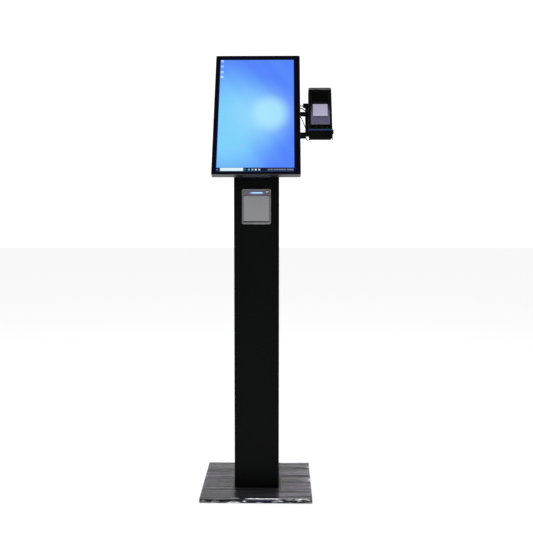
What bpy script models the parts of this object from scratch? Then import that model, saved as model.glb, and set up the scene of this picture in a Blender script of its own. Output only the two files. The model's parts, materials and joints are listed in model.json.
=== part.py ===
"""Touchscreen kiosk on a floor post: a tilted portrait display, a receipt printer in the post,
and a payment terminal in a holder beside the display. Metres, +Z up, front towards -Y."""

import math

import bmesh
import bpy
from mathutils import Matrix, Vector

GAP = 0.0003  # running gap between neighbouring pieces

# Base
BASE_WIDTH = 0.430
BASE_FRONT_Y = -0.191
BASE_DEPTH = 0.442
BASE_TOP = 0.018
BASE_SKIRT_BOTTOM = 0.0033
BASE_WALL = 0.0015
FOOT_PAD_HEIGHT = 0.0042
FOOT_PAD_RADIUS = 0.014
FILM_THICKNESS = 0.0005

# Post, a folded steel box centred on the origin
POST_WIDTH = 0.174
POST_DEPTH = 0.130
POST_TOP = 1.241
POST_WALL = 0.002
POST_BOTTOM = BASE_TOP + GAP
BAY_HALF_WIDTH = 0.070
BAY_BOTTOM = 0.115
BAY_TOP = 1.140
SHELF_Z = 0.550

# Rear service door
DOOR_Y = POST_DEPTH / 2 + 0.0005
DOOR_THICKNESS = 0.002
DOOR_HINGE_X = -0.0885
DOOR_HINGE_Y = POST_DEPTH / 2 + 0.004
DOOR_HINGE_HEIGHTS = {"upper": 1.050, "lower": 0.205}
KNUCKLE_RADIUS = 0.0035
LOCK_X = 0.058
LOCK_Z = 0.630

# Mains inlet, low on the back of the post
INLET_X = -0.035
INLET_Z = 0.068
ROCKER_X = INLET_X + 0.0155

# Receipt printer in the front of the post
PRINTER_WIDTH = 0.111
PRINTER_HEIGHT = 0.1345
PRINTER_Z = 1.126
PRINTER_FRONT_Y = -0.069
BAY_OPENING = 0.099
PRINTER_DOOR_BOTTOM = 1.0725
PRINTER_DOOR_TOP = 1.1675
PRINTER_HINGE = Vector((0, -0.0655, 1.0755))
BUTTON = Vector((0.041, -0.0715, 1.1862))
LIGHT_BAR_Z = 1.1797
PLATEN = Vector((0, -0.052, 1.157))
PLATEN_RADIUS = 0.005
PAPER_ROLL = Vector((0, -0.022, 1.0935))
PAPER_ROLL_RADIUS = 0.0262
GEAR_MODULE = 0.0008
GEAR_X = 0.0467
GEAR_THICKNESS = 0.0024
PLATEN_TEETH = 15
IDLER_TEETH = 20
PINION_TEETH = 10
MESH_SLACK = 0.0001
IDLER_BEARING = math.radians(-52.5)
PINION_BEARING = math.radians(-23.5)

# Display: x across, y back from its face, z up its face, from the middle of its lower front edge
TILT = math.radians(29)
DISPLAY_EDGE = Vector((0, -0.125, 1.247))
DISPLAY_WIDTH = 0.339
DISPLAY_HEIGHT = 0.562
FRAME_DEPTH = 0.022
GLASS_THICKNESS = 0.003
HOUSING_HALF_WIDTH = 0.1395
HOUSING_BOTTOM = 0.060
HOUSING_TOP = 0.522
HOUSING_BACK = 0.050
HOUSING_WALL = 0.002
TILT_AXIS = Vector((0, 0.084, 0.200))

# Tilt hinge
YOKE_EAR_X = 0.0455
YOKE_EAR_THICKNESS = 0.005
BRACKET_EAR_X = 0.0405
BRACKET_EAR_THICKNESS = 0.004
TILT_BOLT_RADIUS = 0.0047

# Payment terminal and its holder, in the display's coordinates
HOLDER_X = 0.2475
HOLDER_WIDTH = 0.091
HOLDER_BOTTOM = 0.192
HOLDER_TOP = 0.4005
SKIRT_BOTTOM = 0.160
SKIRT_RETURN = 0.012
HOLDER_FRONT = -0.001
HOLDER_WALL = 0.002
WINDOW_WIDTH = 0.0755
WINDOW_BOTTOM = 0.203
WINDOW_TOP = 0.386
TERMINAL_FRONT = 0.0013
COVER_HINGE = Vector((HOLDER_X, 0.0022, 0.3345))
TERMINAL_ROLL = Vector((HOLDER_X, 0.0235, 0.3575))
HOLDER_LOCK = Vector((HOLDER_X + HOLDER_WIDTH / 2, 0.010, 0.197))
BRACKET_BACK = 0.0543
BRACKET_THICKNESS = 0.004

# Leads from the display's housing to the holder: diameter, and the route each one takes
LEAD_START_X = HOUSING_HALF_WIDTH + GAP
LEAD_END_X = HOLDER_X - HOLDER_WIDTH / 2 - GAP
LEAD_STUB = 0.005  # each lead leaves and enters square to the wall
LEADS = {
    "data_lead": (0.0042, [
        (LEAD_START_X, 0.036, 0.337), (LEAD_START_X + LEAD_STUB, 0.036, 0.337),
        (0.155, 0.036, 0.3385), (0.168, 0.0365, 0.3400), (0.181, 0.037, 0.3395),
        (0.190, 0.037, 0.3378), (LEAD_END_X - LEAD_STUB, 0.037, 0.3370),
        (LEAD_END_X, 0.037, 0.3370)]),
    "power_lead": (0.0042, [
        (LEAD_START_X, 0.043, 0.3265), (LEAD_START_X + LEAD_STUB, 0.043, 0.3265),
        (0.155, 0.043, 0.3280), (0.164, 0.042, 0.3300), (0.172, 0.041, 0.3306),
        (0.178, 0.040, 0.3280), (0.184, 0.039, 0.3225), (0.190, 0.037, 0.3162),
        (LEAD_END_X - LEAD_STUB, 0.036, 0.3150), (LEAD_END_X, 0.036, 0.3150)]),
    "signal_lead": (0.0030, [
        (LEAD_START_X, 0.040, 0.293), (LEAD_START_X + LEAD_STUB, 0.040, 0.293),
        (0.154, 0.041, 0.2955), (0.164, 0.041, 0.2950), (0.1725, 0.040, 0.2865),
        (0.1795, 0.039, 0.2690), (0.1860, 0.038, 0.2480), (0.1920, 0.038, 0.2270),
        (0.1935, 0.037, 0.2050), (0.1922, 0.036, 0.1900), (0.1925, 0.036, 0.1825),
        (0.1950, 0.036, 0.1777), (0.1985, 0.0355, 0.1763), (0.2022, 0.035, 0.1782),
        (0.2048, 0.035, 0.1830), (0.2052, 0.035, 0.1875),
        (0.2052, 0.035, HOLDER_BOTTOM - GAP)]),
}
LEAD_POINT_SPACING = 0.007

# Finishes: colour, roughness, metallic
FINISHES = {
    "black_powder": ((0.012, 0.012, 0.013), 0.45, 0.0),
    "gloss_black": ((0.010, 0.010, 0.012), 0.12, 0.0),
    "black_plastic": ((0.015, 0.015, 0.016), 0.50, 0.0),
    "grey_plastic": ((0.110, 0.110, 0.115), 0.45, 0.0),
    "door_grey": ((0.220, 0.220, 0.230), 0.40, 0.0),
    "steel": ((0.450, 0.450, 0.460), 0.35, 1.0),
    "chrome": ((0.700, 0.700, 0.720), 0.15, 1.0),
    "rubber": ((0.020, 0.020, 0.020), 0.80, 0.0),
    "clear_film": ((0.550, 0.560, 0.580), 0.20, 0.0),
    "screen": ((0.130, 0.420, 0.900), 0.10, 0.0),
    "light": ((0.300, 0.750, 1.000), 0.30, 0.0),
    "paper": ((0.850, 0.850, 0.830), 0.80, 0.0),
    "lavender": ((0.420, 0.400, 0.520), 0.20, 0.0),
    "slate_blue": ((0.080, 0.160, 0.280), 0.25, 0.0),
    "board_green": ((0.020, 0.120, 0.050), 0.50, 0.0),
    "nylon": ((0.700, 0.690, 0.650), 0.50, 0.0),
}


def clear_scene():
    for obj in list(bpy.data.objects):
        bpy.data.objects.remove(obj, do_unlink=True)


def new_collection(name):
    collection = bpy.data.collections.new(name)
    bpy.context.scene.collection.children.link(collection)
    return collection


clear_scene()
PARTS = new_collection("touchscreen_kiosk")
CUTTERS = new_collection("cutters")


class Frame:
    """An empty on a joint's axis, and the drawing point that it stands on."""

    def __init__(self, name, pivot, parent=None, location=None, tilt=0.0):
        self.pivot = Vector(pivot)
        self.empty = bpy.data.objects.new(name, None)
        self.empty.empty_display_size = 0.02
        self.empty.rotation_euler = (tilt, 0, 0)
        self.empty.location = self.pivot if location is None else location
        if parent:
            self.empty.parent = parent.empty
            self.empty.location = self.pivot - parent.pivot
        PARTS.objects.link(self.empty)


def coat(obj, finish):
    colour, roughness, metallic = FINISHES[finish]
    material = bpy.data.materials.new(obj.name)
    material.use_nodes = True
    shader = material.node_tree.nodes["Principled BSDF"]
    shader.inputs["Base Color"].default_value = (*colour, 1)
    shader.inputs["Roughness"].default_value = roughness
    shader.inputs["Metallic"].default_value = metallic
    obj.data.materials.append(material)


def place(obj, centre, finish, frame):
    """Puts a piece at its drawing point on its frame. With no finish it is a cutter."""
    obj.location = Vector(centre) - (frame.pivot if frame else Vector())
    if frame:
        obj.parent = frame.empty
    if finish:
        coat(obj, finish)
        PARTS.objects.link(obj)
    else:
        obj.hide_render = True
        obj.display_type = "WIRE"
        CUTTERS.objects.link(obj)
    return obj


def object_from(bm, name):
    mesh = bpy.data.meshes.new(name)
    bm.to_mesh(mesh)
    bm.free()
    return bpy.data.objects.new(name, mesh)


def soften(obj, width, segments=1):
    """Rounds every sharp edge of a piece."""
    bevel = obj.modifiers.new("soften", "BEVEL")
    bevel.width = width
    bevel.segments = segments
    bevel.limit_method = "ANGLE"
    bevel.angle_limit = math.radians(50)


def block(name, size, centre, finish=None, frame=None, corner=0.0, along=2, steps=3):
    """A box whose four edges along one axis can be rounded."""
    bm = bmesh.new()
    bmesh.ops.create_cube(bm, size=1.0, matrix=Matrix.Diagonal((*size, 1)))
    if corner:
        edges = [e for e in bm.edges
                 if abs(abs((e.verts[0].co - e.verts[1].co)[along]) - size[along]) < 1e-9]
        bmesh.ops.bevel(bm, geom=edges, offset=corner, segments=steps, profile=0.5,
                        affect="EDGES")
    return place(object_from(bm, name), centre, finish, frame)


def span(name, low, high, finish=None, frame=None, **options):
    """A box given by its lowest and highest corners."""
    low = Vector(low)
    high = Vector(high)
    return block(name, high - low, (low + high) / 2, finish, frame, **options)


def slot_bank(name, size, centres, frame=None):
    """A cutter of equal boxes."""
    bm = bmesh.new()
    for centre in centres:
        matrix = Matrix.Translation(centre) @ Matrix.Diagonal((*size, 1))
        bmesh.ops.create_cube(bm, size=1.0, matrix=matrix)
    return place(object_from(bm, name), (0, 0, 0), None, frame)


AXIS_TURN = {"X": (0, math.pi / 2, 0), "Y": (-math.pi / 2, 0, 0), "Z": (0, 0, 0)}


def rod(name, radius, length, centre, axis, finish=None, frame=None, sides=24):
    bm = bmesh.new()
    bmesh.ops.create_cone(bm, cap_ends=True, segments=sides, radius1=radius, radius2=radius,
                          depth=length)
    obj = place(object_from(bm, name), centre, finish, frame)
    obj.rotation_euler = AXIS_TURN[axis]
    return obj


def turned(name, profile, centre, axis, finish=None, frame=None, steps=24, ring=False):
    """A turned piece. The profile is (radius, height) points, down the outer side. A ring's
    profile closes on itself, and any other starts and ends on the axis."""
    bm = bmesh.new()
    verts = [bm.verts.new((radius, 0, height)) for radius, height in profile]
    for first, second in zip(verts, verts[1:]):
        bm.edges.new((first, second))
    if ring:
        bm.edges.new((verts[-1], verts[0]))
    obj = place(object_from(bm, name), centre, finish, frame)
    obj.rotation_euler = AXIS_TURN[axis]
    screw = obj.modifiers.new("turn", "SCREW")
    screw.steps = steps
    screw.render_steps = steps
    screw.use_merge_vertices = True
    screw.merge_threshold = 0.00001
    return obj


def ring(name, bore, radius, low, high, centre, axis, finish=None, frame=None, steps=24):
    profile = [(radius, high), (radius, low), (bore, low), (bore, high)]
    return turned(name, profile, centre, axis, finish, frame, steps, ring=True)


PLATE_TURN = {"X": (math.pi / 2, 0, math.pi / 2), "Y": (math.pi / 2, 0, 0), "Z": (0, 0, 0)}


def plate(name, outlines, thickness, centre, normal, finish=None, frame=None):
    """A flat outline with holes. Outlines are (y, z), (x, z) or (x, y) for normal X, Y or Z."""
    curve = bpy.data.curves.new(name, "CURVE")
    curve.dimensions = "2D"
    curve.fill_mode = "BOTH"
    curve.extrude = thickness / 2
    for outline in outlines:
        spline = curve.splines.new("POLY")
        spline.points.add(len(outline) - 1)
        for point, (u, v) in zip(spline.points, outline):
            point.co = (u, v, 0, 1)
        spline.use_cyclic_u = True
    flat = bpy.data.objects.new(name + "_flat", curve)
    bpy.context.scene.collection.objects.link(flat)
    depsgraph = bpy.context.evaluated_depsgraph_get()
    mesh = bpy.data.meshes.new_from_object(flat.evaluated_get(depsgraph))
    bpy.data.objects.remove(flat)
    bm = bmesh.new()
    bm.from_mesh(mesh)
    bmesh.ops.remove_doubles(bm, verts=bm.verts, dist=0.00001)
    bmesh.ops.recalc_face_normals(bm, faces=bm.faces)
    obj = place(object_from(bm, name), centre, finish, frame)
    obj.rotation_euler = PLATE_TURN[normal]
    return obj


def arc(centre, radius, start, end, steps):
    angles = [math.radians(start + (end - start) * i / steps) for i in range(steps + 1)]
    return [(centre[0] + radius * math.cos(a), centre[1] + radius * math.sin(a)) for a in angles]


def circle(centre, radius, steps=24):
    return arc(centre, radius, 0, 360, steps)[:-1]


def rectangle(low, high, corner=0.0, steps=3):
    """A rectangle outline with round corners."""
    if not corner:
        return [low, (high[0], low[1]), high, (low[0], high[1])]
    outline = []
    for x, y, start in ((high[0], high[1], 0), (low[0], high[1], 90),
                        (low[0], low[1], 180), (high[0], low[1], 270)):
        centre = (x - corner if x == high[0] else x + corner,
                  y - corner if y == high[1] else y + corner)
        outline += arc(centre, corner, start, start + 90, steps)
    return outline


def boolean(obj, operation, others):
    for other in others:
        modifier = obj.modifiers.new(operation.lower(), "BOOLEAN")
        modifier.operation = operation
        modifier.object = other
    return obj


def cut(obj, *others):
    return boolean(obj, "DIFFERENCE", others)


def join(obj, *others):
    return boolean(obj, "UNION", others)


def smooth_route(points, spacing):
    """Points about one spacing apart on a smooth curve through the given points."""
    points = [Vector(p) for p in points]
    ends = [2 * points[0] - points[1]] + points + [2 * points[-1] - points[-2]]
    route = [points[0]]
    for a, b, c, d in zip(ends, ends[1:], ends[2:], ends[3:]):
        count = max(1, round((c - b).length / spacing))
        for i in range(1, count + 1):
            t = i / count
            route.append(0.5 * (2 * b + (c - a) * t + (2 * a - 5 * b + 4 * c - d) * t ** 2
                                + (3 * b - a - 3 * c + d) * t ** 3))
    return route


def lead(name, diameter, points, finish, frame):
    curve = bpy.data.curves.new(name, "CURVE")
    curve.dimensions = "3D"
    curve.bevel_depth = diameter / 2
    curve.bevel_resolution = 2
    curve.use_fill_caps = True
    route = smooth_route(points, LEAD_POINT_SPACING)
    spline = curve.splines.new("POLY")
    spline.points.add(len(route) - 1)
    for point, place_at in zip(spline.points, route):
        point.co = (*place_at, 1)
    return place(bpy.data.objects.new(name, curve), (0, 0, 0), finish, frame)


def make_base():
    half = BASE_WIDTH / 2
    back = BASE_FRONT_Y + BASE_DEPTH
    wall = BASE_WALL
    cover = span("base_cover", (-half, BASE_FRONT_Y, BASE_SKIRT_BOTTOM), (half, back, BASE_TOP),
                 "gloss_black", corner=0.004)
    hollow = span("base_hollow", (-half + wall, BASE_FRONT_Y + wall, 0),
                  (half - wall, back - wall, BASE_TOP - wall), corner=0.003)
    cut(cover, hollow)
    inset = wall + 0.001
    span("counterweight", (-half + inset, BASE_FRONT_Y + inset, FOOT_PAD_HEIGHT + GAP),
         (half - inset, back - inset, BASE_TOP - wall - GAP), "steel")
    pad_profile = [(0, FOOT_PAD_HEIGHT), (FOOT_PAD_RADIUS, FOOT_PAD_HEIGHT),
                   (FOOT_PAD_RADIUS, 0.0006), (FOOT_PAD_RADIUS - 0.0006, 0), (0, 0)]
    turned("foot_pad_centre", pad_profile, (0, 0, 0), "Z", "rubber")
    for side, x in (("left", -half + 0.035), ("right", half - 0.035)):
        for end, y in (("front", BASE_FRONT_Y + 0.035), ("rear", back - 0.035)):
            turned(f"foot_pad_{end}_{side}", pad_profile, (x, y, 0), "Z", "rubber")


def make_film():
    """The clear wrap over the base: a thin pan with a hole for the post."""
    half = BASE_WIDTH / 2 + GAP
    front = BASE_FRONT_Y - GAP
    back = BASE_FRONT_Y + BASE_DEPTH + GAP
    skin = FILM_THICKNESS
    bottom = BASE_SKIRT_BOTTOM + GAP
    top = BASE_TOP + GAP
    film = span("protective_film", (-half - skin, front - skin, bottom),
                (half + skin, back + skin, top + skin), "clear_film", corner=0.0048)
    inside = span("film_inside", (-half, front, 0), (half, back, top), corner=0.0043)
    post_hole = block("film_post_hole", (POST_WIDTH + 0.002, POST_DEPTH + 0.002, 0.02),
                      (0, 0, top))
    cut(film, inside, post_hole)


def make_post():
    height = POST_TOP - POST_BOTTOM
    middle = (POST_TOP + POST_BOTTOM) / 2
    shell = block("post_shell", (POST_WIDTH, POST_DEPTH, height), (0, 0, middle),
                  "black_powder", corner=0.003)
    inner_width = POST_WIDTH - 2 * POST_WALL
    inner_depth = POST_DEPTH - 2 * POST_WALL
    bore = block("post_bore", (inner_width, inner_depth, height + 0.02), (0, 0, middle))
    bay = span("rear_bay_hole", (-BAY_HALF_WIDTH, 0, BAY_BOTTOM),
               (BAY_HALF_WIDTH, POST_DEPTH, BAY_TOP))
    printer_hole = block("printer_hole", (0.1065, 0.02, 0.127),
                         (0, -POST_DEPTH / 2, PRINTER_Z))
    inlet_hole = block("inlet_hole", (0.047, 0.02, 0.028), (INLET_X, POST_DEPTH / 2, INLET_Z))
    cut(shell, bore, bay, printer_hole, inlet_hole)

    flange_x = inner_width / 2 - 0.0005
    flange_y = inner_depth / 2 - 0.0005
    holes = [circle((x, y), 0.0045, 12) for x in (-0.065, 0.065) for y in (-0.045, 0.045)]
    plate("post_flange", [rectangle((-flange_x, -flange_y), (flange_x, flange_y))] + holes,
          0.006, (0, 0, POST_BOTTOM + 0.003), "Z", "black_powder")
    plate("equipment_shelf", [rectangle((-flange_x, -flange_y), (flange_x, 0.050)),
                              rectangle((-0.060, -0.052), (0.060, -0.032), 0.008)],
          0.002, (0, 0, SHELF_Z), "Z", "black_powder")
    supply = span("power_supply", (-0.031, -0.020, SHELF_Z + 0.001 + GAP),
                  (0.031, 0.014, SHELF_Z + 0.126), "black_plastic")
    soften(supply, 0.003)

    cap_z = POST_TOP + GAP
    half_width = POST_WIDTH / 2
    half_depth = POST_DEPTH / 2
    outline = rectangle((-half_width, -half_depth), (half_width, half_depth), 0.003)
    plate("post_cap", [outline, circle((0, -0.040), 0.0115)], 0.003,
          (0, 0, cap_z + 0.0015), "Z", "black_powder")
    low = -0.0025
    high = 0.0058
    turned("cable_grommet", [(0.0100, high), (0.0140, high - 0.001), (0.0140, 0.0033),
                             (0.0112, 0.0033), (0.0112, low), (0.0080, low), (0.0080, high - 0.001)],
           (0, -0.040, cap_z), "Z", "rubber", ring=True)


def make_rear_door():
    frame = Frame("rear_door_axis", (DOOR_HINGE_X, DOOR_HINGE_Y, 0.6275))
    left = -0.083
    tab = DOOR_HINGE_X + 0.002
    bottom = 0.105
    top = 1.150
    outline = [(0.083, bottom), (0.083, top), (left, top)]
    for name in ("upper", "lower"):
        z = DOOR_HINGE_HEIGHTS[name]
        outline += [(left, z + 0.010), (tab, z + 0.010), (tab, z - 0.010), (left, z - 0.010)]
    outline.append((left, bottom))
    holes = [circle((LOCK_X, LOCK_Z), 0.0083)]
    for start in (0.300, 0.880):
        for row in range(7):
            z = start + 0.014 * row
            holes.append(rectangle((-0.035, z), (0.035, z + 0.005), 0.0024, 2))
    door = plate("rear_door", [outline] + holes, DOOR_THICKNESS,
                 (0, DOOR_Y + DOOR_THICKNESS / 2, 0), "Y", "black_powder", frame)
    for name, z in DOOR_HINGE_HEIGHTS.items():
        axis = (DOOR_HINGE_X, DOOR_HINGE_Y, z)
        join(door, rod(f"door_knuckle_{name}", KNUCKLE_RADIUS, 0.020, axis, "Z", frame=frame))
        cut(door, rod(f"door_bore_{name}", 0.0019, 0.040, axis, "Z", frame=frame, sides=16))
        make_door_hinge(name, axis)
    make_door_lock(frame)


def make_door_hinge(name, axis):
    """The leaf on the post's side, with two knuckles, and the pin through them."""
    side = -POST_WIDTH / 2 - GAP
    reach = DOOR_HINGE_Y
    notch = POST_DEPTH / 2 - 0.0005
    outline = [(0.035, -0.030), (reach, -0.030), (reach, -0.0105), (notch, -0.0105),
               (notch, 0.0105), (reach, 0.0105), (reach, 0.030), (0.035, 0.030)]
    leaf = plate(f"hinge_leaf_{name}", [outline], 0.002, (side - 0.001, 0, axis[2]), "X",
                 "black_powder")
    for position, low, high in (("over", 0.0105, 0.030), ("under", -0.030, -0.0105)):
        join(leaf, rod(f"leaf_knuckle_{name}_{position}", KNUCKLE_RADIUS, high - low,
                       (axis[0], axis[1], axis[2] + (low + high) / 2), "Z"))
    cut(leaf, rod(f"leaf_bore_{name}", 0.0019, 0.080, axis, "Z", sides=16))
    turned(f"hinge_pin_{name}", [(0, 0.0325), (0.0030, 0.0325), (0.0030, 0.0303),
                                 (0.0016, 0.0303), (0.0016, -0.0310), (0, -0.0310)],
           axis, "Z", "steel", steps=16)


def make_door_lock(door_frame):
    """A cam lock: the barrel stays in the door, and the plug turns its cam behind the post."""
    centre = (LOCK_X, DOOR_Y + DOOR_THICKNESS, LOCK_Z)
    turned("door_lock_barrel", [(0.0100, 0.0018), (0.0100, GAP), (0.0080, GAP),
                                (0.0080, -0.0115), (0.0053, -0.0115), (0.0053, 0.0018)],
           centre, "Y", "chrome", door_frame, ring=True)
    frame = Frame("door_lock_axis", centre, door_frame)
    plug = turned("door_lock_cam", [(0, 0.0021), (0.0050, 0.0021), (0.0050, -0.0155),
                                    (0, -0.0155)], centre, "Y", "chrome", frame)
    lever = plate("cam_lever", [arc((LOCK_X, LOCK_Z), 0.0070, 180, 360, 8)
                                + arc((LOCK_X, LOCK_Z + 0.0130), 0.0045, 0, 180, 6)],
                  0.0025, (0, centre[1] - 0.0137, 0), "Y", frame=frame)
    join(plug, lever)
    slot = block("key_slot", (0.0012, 0.004, 0.0060), (LOCK_X, centre[1] + 0.003, LOCK_Z),
                 frame=frame)
    cut(plug, slot)


def make_mains_inlet():
    face = POST_DEPTH / 2 + GAP
    inlet = block("mains_inlet", (0.056, 0.002, 0.034), (INLET_X, face + 0.001, INLET_Z),
                  "black_plastic", corner=0.004, along=1)
    body = span("inlet_body", (INLET_X - 0.0227, 0.042, INLET_Z - 0.0132),
                (INLET_X + 0.0227, face + 0.001, INLET_Z + 0.0132))
    join(inlet, body)
    socket = block("inlet_socket", (0.024, 0.016, 0.017), (INLET_X - 0.008, 0.0610, INLET_Z),
                   corner=0.003, along=1)
    switch_hole = block("switch_hole", (0.013, 0.012, 0.0205), (ROCKER_X, 0.0640, INLET_Z))
    cut(inlet, socket, switch_hole)
    pivot = (ROCKER_X, 0.0650, INLET_Z)
    frame = Frame("rocker_axis", pivot)
    y = pivot[1]
    outline = [(y - 0.0045, -0.0045), (y + 0.0005, -0.0092), (y + 0.0025, 0),
               (y + 0.0050, 0.0078), (y + 0.0035, 0.0088), (y - 0.0045, 0.0045)]
    plate("rocker_switch", [[(u, v + INLET_Z) for u, v in outline]], 0.0118,
          (ROCKER_X, 0, 0), "X", "black_plastic", frame)


def gear_outline(centre, teeth, phase):
    """A spur gear with straight flanks, one tooth on the phase angle."""
    pitch_radius = teeth * GEAR_MODULE / 2
    tip = pitch_radius + 0.85 * GEAR_MODULE
    root = pitch_radius - 1.15 * GEAR_MODULE
    step = 2 * math.pi / teeth
    outline = []
    for tooth in range(teeth):
        middle = phase + tooth * step
        for share, radius in ((-0.27, root), (-0.10, tip), (0.10, tip), (0.27, root)):
            angle = middle + share * step
            outline.append((centre[0] + radius * math.cos(angle),
                            centre[1] + radius * math.sin(angle)))
    return outline


def gear_centres():
    """The idler's and the pinion's axes, each in mesh with the gear before it."""
    spacing = (PLATEN_TEETH + IDLER_TEETH) * GEAR_MODULE / 2 + MESH_SLACK
    idler = PLATEN + spacing * Vector((0, math.cos(IDLER_BEARING), math.sin(IDLER_BEARING)))
    spacing = (IDLER_TEETH + PINION_TEETH) * GEAR_MODULE / 2 + MESH_SLACK
    pinion = idler + spacing * Vector((0, math.cos(PINION_BEARING), math.sin(PINION_BEARING)))
    return idler, pinion


def mesh_phase(bearing, teeth, partner_teeth, partner_phase):
    """The phase that puts a gap of this gear opposite its partner's tooth at the bearing."""
    partner_step = 2 * math.pi / partner_teeth
    offset = ((bearing - partner_phase) / partner_step) % 1.0
    step = 2 * math.pi / teeth
    return bearing + math.pi + (0.5 + offset) * step


def make_printer():
    bezel_low = (-PRINTER_WIDTH / 2, PRINTER_Z - PRINTER_HEIGHT / 2)
    bezel_high = (PRINTER_WIDTH / 2, PRINTER_Z + PRINTER_HEIGHT / 2)
    opening_low = 1.0695
    half = BAY_OPENING / 2
    outlines = [rectangle(bezel_low, bezel_high, 0.006, 5),
                rectangle((-half, opening_low), (half, opening_low + BAY_OPENING)),
                rectangle((-0.0265, LIGHT_BAR_Z - 0.0043), (0.0265, LIGHT_BAR_Z + 0.0043), 0.002),
                circle((BUTTON.x, BUTTON.z), 0.0058)]
    back = -POST_DEPTH / 2 - GAP
    bezel = plate("printer_bezel", outlines, back - PRINTER_FRONT_Y,
                  (0, (back + PRINTER_FRONT_Y) / 2, 0), "Y", "grey_plastic")
    soften(bezel, 0.0008)
    light = span("printer_light_bar", (-0.026, PRINTER_FRONT_Y - 0.0006, LIGHT_BAR_Z - 0.0038),
                 (0.026, back - 0.0005, LIGHT_BAR_Z + 0.0038), "light", corner=0.0018, along=1)
    soften(light, 0.0005)

    housing = span("printer_housing", (-0.0525, -0.0650, 1.0635), (0.0525, 0.0220, 1.1885),
                   "black_plastic")
    hollow = span("housing_hollow", (-0.0498, -0.0700, 1.0665), (0.0498, 0.0195, 1.1860))
    idler, pinion = gear_centres()
    stub_hole = rod("idler_stub_hole", 0.0018, 0.006, (0.0512, idler.y, idler.z), "X", sides=12)
    cut(housing, hollow, stub_hole)

    button_frame = Frame("printer_button_axis", BUTTON)
    turned("printer_button", [(0, 0), (0.0040, 0.0002), (0.0052, 0.0010), (0.0055, 0.0020),
                              (0.0055, 0.0040), (0, 0.0040)][::-1],
           BUTTON, "Y", "chrome", button_frame)

    roll_frame = Frame("paper_roll_axis", PAPER_ROLL)
    ring("paper_roll", 0.0060, PAPER_ROLL_RADIUS, -0.0397, 0.0397, PAPER_ROLL, "X", "paper",
         roll_frame, steps=40)
    block("print_head", (0.080, 0.005, 0.019), (0, -0.0440, 1.1625), "steel")
    span("cutter_blade", (-0.041, -0.0630, 1.1697), (0.041, -0.0612, 1.1760), "steel")
    make_printer_door()
    make_gear_train(idler, pinion)


def make_printer_door():
    frame = Frame("printer_door_axis", PRINTER_HINGE)
    back = -0.0660
    door = span("printer_door", (-0.0489, PRINTER_FRONT_Y - 0.0008, PRINTER_DOOR_BOTTOM),
                (0.0489, back, PRINTER_DOOR_TOP), "door_grey", frame, corner=0.0025, along=1)
    soften(door, 0.0007)
    knuckle = rod("printer_door_knuckle", 0.0030, 0.0960, PRINTER_HINGE, "X", frame=frame)
    join(door, knuckle)
    y = PLATEN.y
    z = PLATEN.z
    ear = [(back - 0.001, z - 0.008), (y, z - 0.004)] + arc((y, z), 0.0040, -60, 90, 5)
    ear.append((back - 0.001, z + 0.006))
    for side, x in (("left", -0.0425), ("right", 0.0425)):
        join(door, plate(f"platen_ear_{side}", [ear], 0.002, (x, 0, 0), "X", frame=frame))
    cut(door, rod("door_pin_bore", 0.0015, 0.110, PRINTER_HINGE, "X", frame=frame, sides=16),
        rod("platen_bore", 0.0021, 0.100, PLATEN, "X", frame=frame, sides=16))
    rod("printer_hinge_pin", 0.0012, 0.0990, PRINTER_HINGE, "X", "steel", sides=12)

    platen_frame = Frame("platen_axis", PLATEN, frame)
    half = 0.0405
    shaft = 0.0018
    turned("platen_roller", [(0, 0.0486), (shaft, 0.0486), (shaft, half), (PLATEN_RADIUS, half),
                             (PLATEN_RADIUS, -half), (shaft, -half), (shaft, -0.0440),
                             (0, -0.0440)], PLATEN, "X", "rubber", platen_frame)
    centre = (PLATEN.y, PLATEN.z)
    plate("platen_gear", [gear_outline(centre, PLATEN_TEETH, IDLER_BEARING),
                          circle(centre, 0.0021, 16)],
          GEAR_THICKNESS, (GEAR_X, 0, 0), "X", "nylon", platen_frame)


def make_gear_train(idler, pinion):
    idler_frame = Frame("idler_axis", idler)
    idler_phase = mesh_phase(IDLER_BEARING, IDLER_TEETH, PLATEN_TEETH, IDLER_BEARING)
    gear = plate("idler_gear", [gear_outline((idler.y, idler.z), IDLER_TEETH, idler_phase)],
                 GEAR_THICKNESS, (GEAR_X, 0, 0), "X", "nylon", idler_frame)
    join(gear, rod("idler_stub", 0.0015, 0.0050, (GEAR_X + 0.0025, idler.y, idler.z), "X",
                   frame=idler_frame, sides=12))
    pinion_frame = Frame("pinion_axis", pinion)
    pinion_phase = mesh_phase(PINION_BEARING, PINION_TEETH, IDLER_TEETH, idler_phase)
    gear = plate("motor_pinion", [gear_outline((pinion.y, pinion.z), PINION_TEETH, pinion_phase)],
                 GEAR_THICKNESS, (GEAR_X, 0, 0), "X", "nylon", pinion_frame)
    join(gear, rod("pinion_shaft", 0.0011, 0.0080, (GEAR_X - 0.0040, pinion.y, pinion.z), "X",
                   frame=pinion_frame, sides=12))
    motor = rod("feed_motor", 0.0090, 0.0260, (0.0315, pinion.y, pinion.z), "X", "steel")
    cut(motor, rod("motor_bore", 0.0014, 0.0100, (0.0435, pinion.y, pinion.z), "X", sides=12))


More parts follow.
